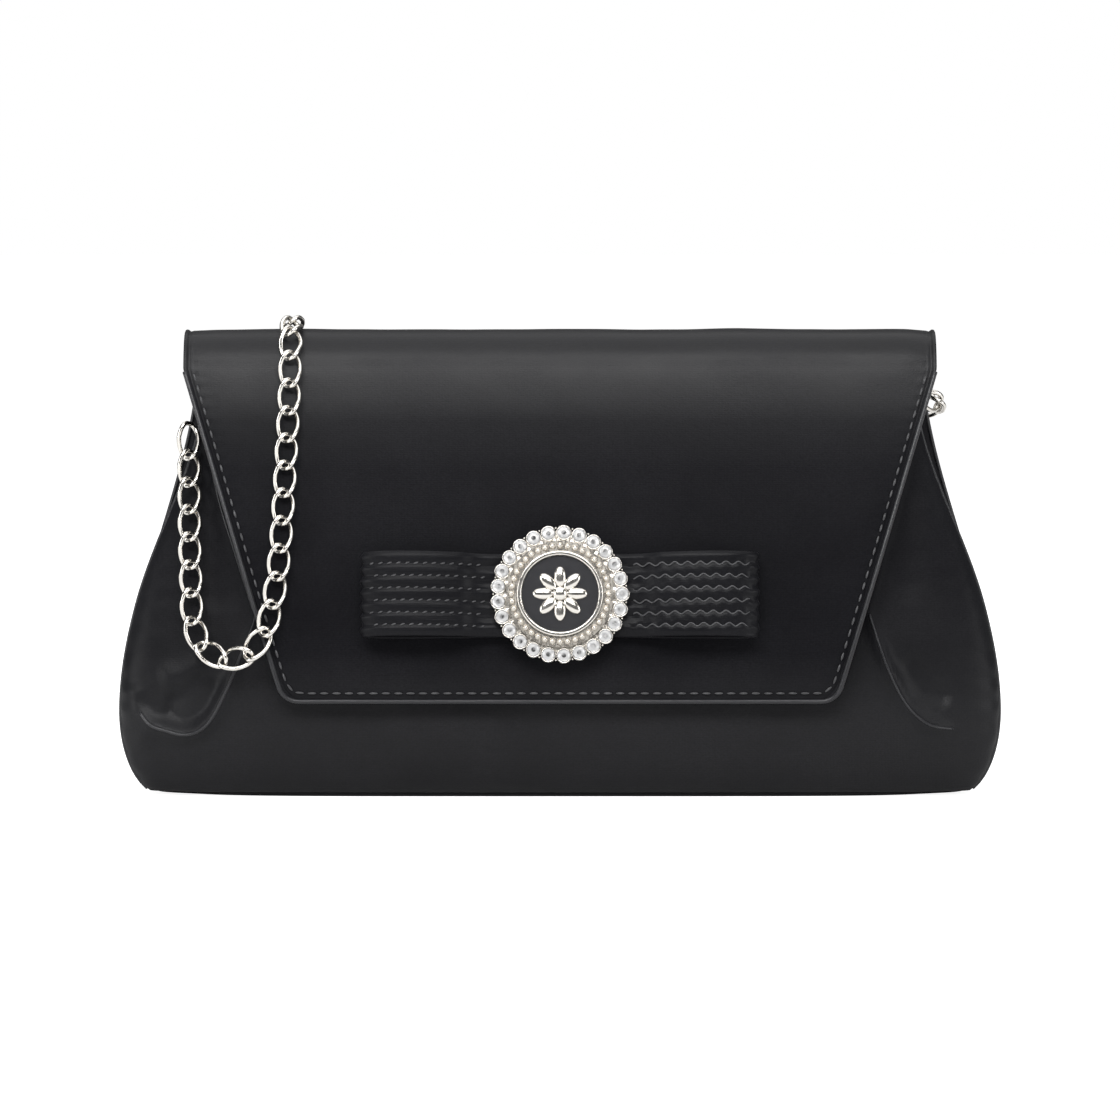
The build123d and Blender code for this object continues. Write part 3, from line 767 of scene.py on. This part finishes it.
pocket_grid = []
for i in range(POCKET_ROWS + 1):
    z = POCKET_LOW_Z + POCKET_HEIGHT * i / POCKET_ROWS
    span = half_width(z) - fold_depth(z) - POCKET_SIDE_GAP
    row = []
    for j in range(POCKET_COLUMNS + 1):
        x = -POCKET_HALF_WIDTH + 2 * POCKET_HALF_WIDTH * j / POCKET_COLUMNS
        lift = POCKET_SLACK * smooth((z - 80) / 15) * (1 - (x / POCKET_HALF_WIDTH) ** 2)
        row.append((x, (back_depth(z) - POCKET_BACK_GAP) * plan_fullness(x / span) - lift, z))
    pocket_grid.append(row)
pocket = grid_piece("soft_pocket", pocket_grid, "bag", lining_cloth)
thicken(pocket, 0.5, 1, 0.0)
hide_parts("slip_pocket")


# ---- flap ----
FLAP_LEVELS = [FLAP_LOW_Z, 29, 33, 39, 45, 52, 58, 70, 82, 95, 104, FLAP_SHOULDER_Z]
FOLD_LEVELS = [(-8.3, 115.4), (-5.2, 118.6), (0.0, 119.6), (4.5, 119.2), (7.6, 118.5)]
SHEET_PITCH = 0.85
MIDDLE_COLUMNS = 56
# each relief near the flap's edge: height, distance in from the edge, width
ROLLED_EDGE = (0.25, 0.7, 0.55)
EDGE_GROOVE = (-0.42, 1.55, 0.4)
STITCH_DENT = (-0.2, 2.7, 0.6)
PUCKER = (0.035, 4.2, 1.2)
PADDING_RISE = 0.3
LOW_DENT_PITCH = 2.6
STITCH_PITCH = 3.2
STITCH_INSIDE = 2.7
EDGE_CORD_INSIDE = 0.55
EDGE_CORD_RADIUS = 0.62
CORNER_SHIFT = 1.6
SIDE_EDGE_POINTS = 90
CORNER_PARTS = 9
LOW_EDGE_PARTS = 60


def flap_profile():
    """Side profile of the flap's inner face from its lower edge over the fold."""
    inner = [(-(front_depth(z) + flap_gap(z)), z) for z in FLAP_LEVELS] + FOLD_LEVELS
    return catmull([(0, y, z) for y, z in inner], 14)


PROFILE = flap_profile()


def flap_outline(z, on_fold):
    """Half-width of the flap; the lower corners are rounded."""
    if on_fold:
        return FLAP_TOP_HALF_WIDTH
    slope = (FLAP_TOP_HALF_WIDTH - FLAP_LOW_HALF_WIDTH) / (FLAP_SHOULDER_Z - FLAP_LOW_Z)
    half = FLAP_LOW_HALF_WIDTH + slope * (z - FLAP_LOW_Z)
    up = z - FLAP_LOW_Z
    if up < FLAP_CORNER:
        half -= FLAP_CORNER - sqrt(FLAP_CORNER ** 2 - (FLAP_CORNER - up) ** 2)
    return min(half, FLAP_TOP_HALF_WIDTH)


def edge_relief(away, along, pitch):
    """Rolled edge, groove, stitch dents and padding, by distance from the flap's edge."""
    away = max(0, away)
    phase = 2 * pi * along / pitch
    dents = ridge(away, STITCH_DENT) * (0.6 + 0.4 * cos(phase))
    puckers = ridge(away, PUCKER) * cos(phase + pi)
    edge = ridge(away, ROLLED_EDGE) + ridge(away, EDGE_GROOVE)
    return edge + dents + puckers + PADDING_RISE * smooth((away - 3) / 6)


# columns near each side edge, as distances in from it
EDGE_STEPS = [0, 0.35, 0.7, 1.1, 1.5, 1.9, 2.3, 2.7, 3.1, 3.8, 4.8, 6.0, 7.5]


def flap_sheet(name, node, distance, thickness, margin, made, relief):
    """One cloth layer of the flap, a distance outside its inner face."""
    line = evenly(PROFILE, SHEET_PITCH)
    grid = []
    travelled = 0.0
    for i, here in enumerate(line):
        before, after = line[max(0, i - 1)], line[min(len(line) - 1, i + 1)]
        ahead = (after - before).normalized()
        outward = Vector((0, -ahead.z, ahead.y))
        travelled += (here - before).length
        on_fold = here.z > FLAP_SHOULDER_Z
        half = flap_outline(max(here.z, FLAP_LOW_Z + 0.02), on_fold) - margin
        lean = ahead * margin if i == 0 else Vector((0, 0, 0))
        stops = [half - step for step in EDGE_STEPS]
        inner_half = stops[-1]
        middle = [inner_half * (1 - 2 * k / MIDDLE_COLUMNS) for k in range(1, MIDDLE_COLUMNS)]
        row = []
        for x in stops + middle + [-stop for stop in stops[::-1]]:
            side_away = half - abs(x)
            lift = 0.0
            if relief:
                near_low = travelled < side_away
                away = min(side_away, travelled)
                along, pitch = (x, LOW_DENT_PITCH) if near_low else (travelled, STITCH_PITCH)
                lift = edge_relief(away, along, pitch)
                calm = 1 - exp(-((hypot(x / 1.2, here.z - BOW_Z) / 16) ** 4))
                lift += ruffle(x, 7, here.z, 30, 0.45) * calm * smooth(away / 8)
                lift += ruffle(x, 3, here.z, 8, 0.10) * calm * smooth(away / 8)
            row.append(here + lean + outward * (distance + lift) + Vector((x, 0, 0)))
        grid.append(row)
    sheet = grid_piece(name, grid, "flap", made, flip=True)
    thicken(sheet, thickness, 1)
    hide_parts(node)


flap_sheet("soft_flap", "flap_outer", 2.1, 0.9, 0.0, flap_satin, True)
flap_sheet("soft_flap_lining", "flap_lining", 0.5, 0.45, 1.4, lining_cloth, False)


# a strip of satin from the back panel up to the flap's back edge, which bends at the hinge
FOLD_SECTION = [
    (9.5, 108.0), (9.0, 112.0), (8.7, 115.5), (9.3, 118.4), (8.9, 120.6), (7.9, 121.3), (6.6, 121.55),
]
FOLD_HALF_WIDTH = 95.0
FOLD_COLUMNS = 60
FOLD_THICK = 0.45
fold_profile = catmull([(0, y, z) for y, z in FOLD_SECTION], 5)
fold_points = []
for here in fold_profile:
    for step in range(FOLD_COLUMNS + 1):
        x = FOLD_HALF_WIDTH * (1 - 2 * step / FOLD_COLUMNS)
        flat = 1 - 0.13 * smooth((116 - here.z) / 3) * smooth((abs(x) - 70) / 25)
        fold_points.append((x, here.y * flat, here.z))
fold_faces = grid_faces(len(fold_profile), FOLD_COLUMNS + 1)
back_fold = loose_piece("soft_back_fold", fold_points, fold_faces, flap_satin)
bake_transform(back_fold)
thicken(back_fold, FOLD_THICK, 0)


def flap_point(x, z, off):
    """A point just outside the flap's front face."""
    return Vector((x, flap_face_y(z) - off, z))


def flap_edge_line(inside, off):
    """Down the left edge, along the lower edge and up the right edge, a distance inside the outline."""
    side = []
    straight = FLAP_SHOULDER_Z - FLAP_LOW_Z - FLAP_CORNER
    for i in range(SIDE_EDGE_POINTS):
        z = FLAP_SHOULDER_Z - straight * i / (SIDE_EDGE_POINTS - 1)
        side.append(flap_point(-(flap_outline(z, False) - inside), z, off))
    corner = []
    radius = FLAP_CORNER - inside
    centre_x = -(FLAP_LOW_HALF_WIDTH - FLAP_CORNER + CORNER_SHIFT)
    centre_z = FLAP_LOW_Z + FLAP_CORNER
    for i in range(1, CORNER_PARTS):
        turn = pi / 2 * i / CORNER_PARTS
        corner.append(flap_point(centre_x - radius * cos(turn), centre_z - radius * sin(turn), off))
    half = side + corner
    mirrored = [Vector((-p.x, p.y, p.z)) for p in half[::-1]]
    low = []
    for i in range(LOW_EDGE_PARTS + 1):
        low.append(flap_point(centre_x * (1 - 2 * i / LOW_EDGE_PARTS), FLAP_LOW_Z + inside, off))
    return half + low + mirrored


edge_line = flap_edge_line(EDGE_CORD_INSIDE, 0.1)
cord("flap_rolled_edge", edge_line, EDGE_CORD_RADIUS, "flap", painted_highlight_satin)
stitch_line = evenly(flap_edge_line(STITCH_INSIDE, -0.05), STITCH_PITCH)
flap_stitches = []
for a, b in zip(stitch_line, stitch_line[1:]):
    flap_stitches.append(((a + b) / 2, b - a, Vector((0, -1, 0.2))))
stitches("flap_stitches", flap_stitches, (2.2, 0.6, 0.55), "flap", thread)

# ---- bow ----
BOW_TILT_SPAN = 8
BOW_BACK = (flap_face_y(BOW_Z + BOW_TILT_SPAN) - flap_face_y(BOW_Z - BOW_TILT_SPAN)) / (2 * BOW_TILT_SPAN)
BOW_OUT = Vector((0, -1, BOW_BACK)).normalized()
BOW_UP = BOW_OUT.cross(Vector((1, 0, 0)))
if BOW_UP.z < 0:
    BOW_UP = -BOW_UP
BOW_ORIGIN = Vector((0, flap_face_y(BOW_Z) - BOW_STANDOFF, BOW_Z))
BOW_HALF_LENGTH = 51.5
# right half of the bow's loop seen from above: distance from the middle, height above the flap
BOW_HALF = [(0, 3.1), (19, 3.35), (27, 6.2), (38, 8.0), (47, 7.2), (BOW_HALF_LENGTH, 4.1), (48.5, 1.1),
            (43, 0.4)]
STITCH_ROWS = [-8.2, -5.0, -1.8, 1.4, 4.6, 7.8]
WAVE_LENGTH = 3.3
WAVE_HEIGHT = 0.42
DASH_PITCH = 2.3
DASH_COUNT = 13
DASH_START = 20.0
DASH_SLANT = 0.35
WAVE_START = 19.0
WAVE_RUN = 30.0
WAVE_POINTS = 180
THREAD_RADIUS = 0.19
CHANNEL_DEPTH = 0.24
CHANNEL_WIDTH = 0.5
GATHER_HEIGHT = 0.3
QUILT_RISE = 0.15
BOW_PITCH = 0.7
BOW_COLUMNS = 64
BOW_THICK = 1.1
BOW_RIM = 0.35
BOW_RIM_WIDTH = 0.8
BOW_FRONT_OUT = 1.5
MEDALLION_CLEAR = 14


def stitch_row(x, k):
    """How far row k stands from the bow's middle line: straight on the left half, wavy on the right."""
    if x < 0:
        return STITCH_ROWS[k]
    return STITCH_ROWS[k] + WAVE_HEIGHT * sin(2 * pi * x / WAVE_LENGTH + k * pi / 2)


def bow_place(x, up, out):
    return BOW_ORIGIN + Vector((x, 0, 0)) + BOW_UP * up + BOW_OUT * out


def bow_front(x):
    """Height of the bow's front layer above the flap."""
    for a, b in zip(BOW_FRONT_LINE, BOW_FRONT_LINE[1:]):
        if a.x <= abs(x) <= b.x:
            return a.z + (b.z - a.z) * (abs(x) - a.x) / max(1e-6, b.x - a.x)
    return BOW_FRONT_LINE[-1].z


BOW_FRONT_LINE = catmull([(x, 0, out) for x, out in BOW_HALF[:6]], 12)


def quilt(x, up):
    """A groove along each stitch row, with gathers at the middle and at the ends."""
    height = 0.0
    for k in range(len(STITCH_ROWS)):
        away = up - stitch_row(x, k)
        height -= CHANNEL_DEPTH * exp(-((away / CHANNEL_WIDTH) ** 2))
    middle_gather = exp(-max(0.0, abs(x) - 17) / 7)
    end_gather = exp(-max(0.0, BOW_HALF_LENGTH - abs(x)) / 4)
    height += GATHER_HEIGHT * middle_gather * sin(up * 1.35 + 0.4)
    height += GATHER_HEIGHT * end_gather * sin(up * 2.0 + (1.2 if x < 0 else 0))
    return height + QUILT_RISE


loop = [(-x, out) for x, out in BOW_HALF[:0:-1]] + BOW_HALF
bow_line = evenly(catmull([(x, 0, out) for x, out in loop], 10), BOW_PITCH)
back_line = evenly([bow_line[-1], bow_line[0]], 2.0)[1:-1]
bow_ring = bow_line + back_line
front_count = len(bow_line)
bow_grid = []
for i, here in enumerate(bow_ring):
    ahead = (bow_ring[(i + 1) % len(bow_ring)] - bow_ring[i - 1]).normalized()
    outward = Vector((-ahead.z, 0, ahead.x))
    row = []
    for j in range(BOW_COLUMNS + 1):
        up = -BOW_HALF_HEIGHT + 2 * BOW_HALF_HEIGHT * j / BOW_COLUMNS
        pinch = 1 - 0.05 * exp(-(here.x / 24) ** 2)
        rim = BOW_RIM * exp(-(((BOW_HALF_HEIGHT - abs(up)) / BOW_RIM_WIDTH) ** 2))
        on_front = i < front_count and here.z > BOW_FRONT_OUT
        lift = (quilt(here.x, up) - rim) if on_front else 0.0
        lift *= smooth((here.z - BOW_FRONT_OUT) / 1.5) if on_front else 0.0
        lift *= smooth((abs(here.x) - MEDALLION_CLEAR) / 3)
        row.append(bow_place(here.x + outward.x * lift, up * pinch, here.z + outward.z * lift))
    bow_grid.append(row)
bow_faces = grid_faces(len(bow_ring), BOW_COLUMNS + 1)
last = (len(bow_ring) - 1) * (BOW_COLUMNS + 1)
bow_faces += [(last + j, last + j + 1, j + 1, j) for j in range(BOW_COLUMNS)]
bow_faces = [face[::-1] for face in bow_faces]
bow_points = [p for row in bow_grid for p in row]
bow = new_piece("soft_bow", bow_points, bow_faces, "flap", bow_satin)
thicken(bow, BOW_THICK, 1)
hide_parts("bow_band")

bow_stitches = []
for k in range(len(STITCH_ROWS)):
    for step in range(DASH_COUNT):
        x = -DASH_START - DASH_PITCH * (step + 0.5 * (k % 2))
        rise = bow_front(x + 0.5) - bow_front(x - 0.5)
        along = Vector((1, 0, 0)) + BOW_UP * DASH_SLANT + BOW_OUT * rise
        bow_stitches.append((bow_place(x, stitch_row(x, k), bow_front(x) + 0.02), along, BOW_OUT))
stitches("bow_stitches", bow_stitches, (1.35, 0.46, 0.4), "flap", thread)
for k in range(len(STITCH_ROWS)):
    line = []
    for step in range(WAVE_POINTS + 1):
        x = WAVE_START + WAVE_RUN * step / WAVE_POINTS
        line.append(bow_place(x, stitch_row(x, k), bow_front(x)))
    cord(f"bow_thread_{k}", line, THREAD_RADIUS, "flap", thread, 6)

# ---- faceted stones ----
STONE_COUNT, STONE_CIRCLE, STONE_RADIUS = 25, 16.1, 1.75
FACETS = 8
PLATE_TOP = 5.0
REFLECTION_DISC_RADIUS = 0.62
# each level of a stone: share of its radius, height above the plate, turn in facets
GEM_LEVELS = ((1.0, 0.15, 0), (1.0, 0.3, 0), (0.82, 0.72, 0.5), (0.55, 0.95, 0))
CULET_DEPTH = 0.8


def stone_place(turn, radius, angle, out):
    """A point round the stone that stands at this turn of the circle."""
    across = STONE_CIRCLE * cos(turn) + radius * cos(angle)
    up = STONE_CIRCLE * sin(turn) + radius * sin(angle)
    return bow_place(across, up, PLATE_TOP + out)


gem_points, gem_faces = [], []
for k in range(STONE_COUNT):
    turn = 2 * pi * k / STONE_COUNT
    start = len(gem_points)
    for share, out, facet_turn in GEM_LEVELS:
        for facet in range(FACETS):
            angle = 2 * pi * (facet + facet_turn) / FACETS + turn
            gem_points.append(stone_place(turn, STONE_RADIUS * share, angle, out))
    for level in range(3):
        for facet in range(FACETS):
            after = (facet + 1) % FACETS
            k1, k2 = start + level * FACETS + facet, start + level * FACETS + after
            k3, k4 = k1 + FACETS, k2 + FACETS
            if level == 0:
                gem_faces.append((k1, k2, k4, k3))
            elif level == 1:
                gem_faces += [(k1, k2, k3), (k2, k4, k3)]
            else:
                gem_faces += [(k1, k2, k4), (k1, k4, k3)]
    gem_faces.append(tuple(start + 3 * FACETS + facet for facet in range(FACETS)))
    gem_points.append(stone_place(turn, 0.0, 0.0, -CULET_DEPTH))
    culet = len(gem_points) - 1
    for facet in range(FACETS):
        gem_faces.append((start + (facet + 1) % FACETS, start + facet, culet))
gems = new_piece("cut_stones", gem_points, gem_faces, "flap", gem, shade_smooth=False)
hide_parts("stones")

# painted reflection: a grey disc under each stone's table stands in for the dark centre that the cut stone
# shows
reflection_points, reflection_faces = [], []
for k in range(STONE_COUNT):
    turn = 2 * pi * k / STONE_COUNT
    start = len(reflection_points)
    for out in (0.9, 1.0):
        for facet in range(FACETS):
            angle = 2 * pi * facet / FACETS + turn
            reflection_points.append(stone_place(turn, REFLECTION_DISC_RADIUS, angle, out))
    reflection_faces.append(tuple(start + FACETS + facet for facet in range(FACETS)))
    reflection_faces.append(tuple(start + FACETS - 1 - facet for facet in range(FACETS)))
    for facet in range(FACETS):
        after = (facet + 1) % FACETS
        reflection_faces.append((start + facet, start + after, start + FACETS + after, start + FACETS + facet))
new_piece("stone_painted_reflections", reflection_points, reflection_faces, "flap", stone_reflection, shade_smooth=False)

# scalloped plate under the stones, with a thin cup rim round each stone
CUP_RADIUS = STONE_RADIUS + 0.2
OUTLINE_STEPS = 400
# the plate's section: share of its outline, height above the flap
PLATE_SECTION = ((0.02, 3.7), (1.0, 3.7), (1.0, 4.9), (0.985, 5.05), (0.74, 5.05), (0.02, 5.02))
CUP_STEPS = 20
CUP_SIDES = 6
CUP_WALL = 0.17
CUP_GAP = 0.08
CUP_RISE = 0.22
CUP_HALF_HEIGHT = 0.2


def scallop(turn):
    """Outline of the plate: the outer arcs of the stones' cups."""
    best = STONE_CIRCLE
    step = 2 * pi / STONE_COUNT
    off = (turn + step / 2) % step - step / 2
    inside = CUP_RADIUS ** 2 - (STONE_CIRCLE * sin(off)) ** 2
    if inside > 0:
        best = STONE_CIRCLE * cos(off) + sqrt(inside)
    return best


plate_grid = []
for share, out in PLATE_SECTION:
    row = []
    for k in range(OUTLINE_STEPS):
        turn = 2 * pi * k / OUTLINE_STEPS
        row.append(bow_place(share * scallop(turn) * cos(turn), share * scallop(turn) * sin(turn), out))
    plate_grid.append(row)
plate = grid_piece("scalloped_plate", plate_grid, "flap", ring_silver, wrap=True)
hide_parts("medallion_plate")

rim_points, rim_faces = [], []
for k in range(STONE_COUNT):
    turn = 2 * pi * k / STONE_COUNT
    start = len(rim_points)
    for step in range(CUP_STEPS):
        angle = 2 * pi * step / CUP_STEPS
        for side in range(CUP_SIDES):
            swing = 2 * pi * side / CUP_SIDES
            radius = STONE_RADIUS + CUP_GAP + CUP_WALL * cos(swing)
            rise = CUP_RISE + CUP_HALF_HEIGHT * sin(swing)
            rim_points.append(stone_place(turn, radius, angle, rise))
    for step in range(CUP_STEPS):
        here, ahead = start + step * CUP_SIDES, start + (step + 1) % CUP_STEPS * CUP_SIDES
        for side in range(CUP_SIDES):
            after = (side + 1) % CUP_SIDES
            rim_faces.append((here + side, here + after, ahead + after, ahead + side))
new_piece("stone_cups", rim_points, rim_faces, "flap", silver)

# rosette with eight domed petals round a boss
PETAL_COUNT = 8
PETAL_CIRCLE = 4.4
PETAL_OUT = PLATE_TOP + 1.15
petals = []
for k in range(PETAL_COUNT):
    turn = 2 * pi * k / PETAL_COUNT
    along = Vector((cos(turn), 0, 0)) + BOW_UP * sin(turn)
    petals.append((bow_place(PETAL_CIRCLE * cos(turn), PETAL_CIRCLE * sin(turn), PETAL_OUT), along, BOW_OUT))
rosette = stitches("domed_rosette", petals, (5.4, 3.1, 1.6), "flap", silver, 14, 18)
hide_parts("rosette")
boss = [(bow_place(0, 0, PLATE_TOP + 1.3), Vector((1, 0, 0)), BOW_OUT)]
stitches("rosette_boss", boss, (3.8, 3.8, 2.2), "flap", silver, 14, 18)

# claws between the stones
CLAW_OFFSET = 1.2
CLAW_OUT = PLATE_TOP + 0.25
claws = []
for k in range(STONE_COUNT):
    turn = 2 * pi * (k + 0.5) / STONE_COUNT
    for radius in (STONE_CIRCLE - CLAW_OFFSET, STONE_CIRCLE + CLAW_OFFSET):
        tip = bow_place(radius * cos(turn), radius * sin(turn), CLAW_OUT)
        claws.append((tip, BOW_OUT, Vector((1, 0, 0))))
stitches("stone_claws", claws, (0.9, 0.62, 0.62), "flap", silver)


# ---- tabs ----
TAB_HALF_WIDTH = 3.2
TAB_ROWS = 12
TAB_THICK = 0.7
TAB_LOOP_RADIUS = 1.4
TAB_LEG_OFF = 0.42
TAB_BAR_INSET = 6.0
TAB_LEG_START = 2.6
TAB_LEG_END = 4.2
TAB_ARC_STEPS = 24


def soft_tab(name, node, side):
    """A folded satin strap round the ring's bar, with rounded edges."""
    bar_x = side * (half_width(TAB_Z) - TAB_BAR_INSET)
    section = []
    for i in range(TAB_ARC_STEPS + 1):
        turn = radians(155) - radians(310) * i / TAB_ARC_STEPS
        section.append((bar_x + side * TAB_LOOP_RADIUS * cos(turn), TAB_LOOP_RADIUS * sin(turn)))
    near, far = bar_x - side * TAB_LEG_START, bar_x - side * TAB_LEG_END
    section = [(far, TAB_LEG_OFF), (near, TAB_LEG_OFF)] + section
    section += [(near, -TAB_LEG_OFF), (far, -TAB_LEG_OFF)]
    levels = [TAB_Z - TAB_HALF_WIDTH + 2 * TAB_HALF_WIDTH * j / TAB_ROWS for j in range(TAB_ROWS + 1)]
    grid = [[(x, y, z) for x, y in section] for z in levels]
    tab = grid_piece(name, grid, "bag", satin)
    thicken(tab, TAB_THICK, 1, 0.0)
    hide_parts(node)


soft_tab("soft_tab_left", "strap_tab_left", -1)
soft_tab("soft_tab_right", "strap_tab_right", 1)


# ---- studio ----
def stage_mesh(name, points, faces, made):
    mesh = bpy.data.meshes.new(name)
    mesh.from_pydata(points, [], faces)
    mesh.materials.append(made)
    for face in mesh.polygons:
        face.use_smooth = True
    thing = bpy.data.objects.new(name, mesh)
    bpy.context.scene.collection.objects.link(thing)


def camera_only(nodes, links, value):
    """A strength that only the camera sees."""
    path = nodes.new("ShaderNodeLightPath")
    return math_node(nodes, links, "MULTIPLY", path.outputs["Is Camera Ray"], value)


PAPER_GLOW = 0.9
BACKDROP = 1.0
AMBIENT = 0.14
# in metres
FLOOR_CORNERS = [(-60, -6, 0), (60, -6, 0), (60, 60, 0), (-60, 60, 0)]
paper, nodes, links, shader = material("pale_paper")
shader.inputs["Base Color"].default_value = (0.85, 0.85, 0.85, 1)
shader.inputs["Roughness"].default_value = 0.9
shader.inputs["Emission Color"].default_value = (1, 1, 1, 1)
glow = camera_only(nodes, links, PAPER_GLOW)
links.new(glow, shader.inputs["Emission Strength"])
stage_mesh("floor", FLOOR_CORNERS, [(0, 1, 2, 3)], paper)

world = bpy.data.worlds.new("studio")
bpy.context.scene.world = world
world.use_nodes = True
nodes, links = world.node_tree.nodes, world.node_tree.links
seen = camera_only(nodes, links, BACKDROP - AMBIENT)
total = math_node(nodes, links, "ADD", seen, AMBIENT)
nodes["Background"].inputs["Color"].default_value = (1, 1, 1, 1)
links.new(total, nodes["Background"].inputs["Strength"])


def softbox(name, place, target, size, energy):
    light = bpy.data.lights.new(name, "AREA")
    light.shape = "RECTANGLE"
    light.size, light.size_y = size
    light.energy = energy
    lamp = bpy.data.objects.new(name, light)
    lamp.location = place
    lamp.rotation_euler = (Vector(target) - Vector(place)).to_track_quat("-Z", "Y").to_euler()
    bpy.context.scene.collection.objects.link(lamp)


softbox("key_above", (-0.1, -0.8, 0.72), (0, 0, 0.07), (1.0, 0.35), 9)
softbox("fill_left", (-0.95, -0.45, 0.25), (0, 0, 0.06), (0.3, 0.6), 3.2)
softbox("fill_right", (0.95, -0.5, 0.3), (0, 0, 0.06), (0.3, 0.6), 2.6)
softbox("overhead", (0, 0.1, 1.5), (0, 0, 0), (2.2, 2.2), 24)

VIEW_HEIGHT = 0.0624
VIEW_WIDTH = 0.2912
CAMERA_AWAY = 1.6
CAMERA_RISE = 3.0
SENSOR = 36
AIM_Y = -0.026
camera = bpy.data.cameras.new("camera")
camera.sensor_width = SENSOR
camera.lens = SENSOR * CAMERA_AWAY / VIEW_WIDTH
camera.clip_end = 50
lens = bpy.data.objects.new("camera", camera)
rise = radians(CAMERA_RISE)
aim = Vector((0, AIM_Y, VIEW_HEIGHT))
lens.location = aim + Vector((0, -cos(rise), sin(rise))) * CAMERA_AWAY
lens.rotation_euler = (aim - lens.location).to_track_quat("-Z", "Y").to_euler()
bpy.context.scene.collection.objects.link(lens)
bpy.context.scene.camera = lens
bpy.context.scene.view_settings.view_transform = "Standard"
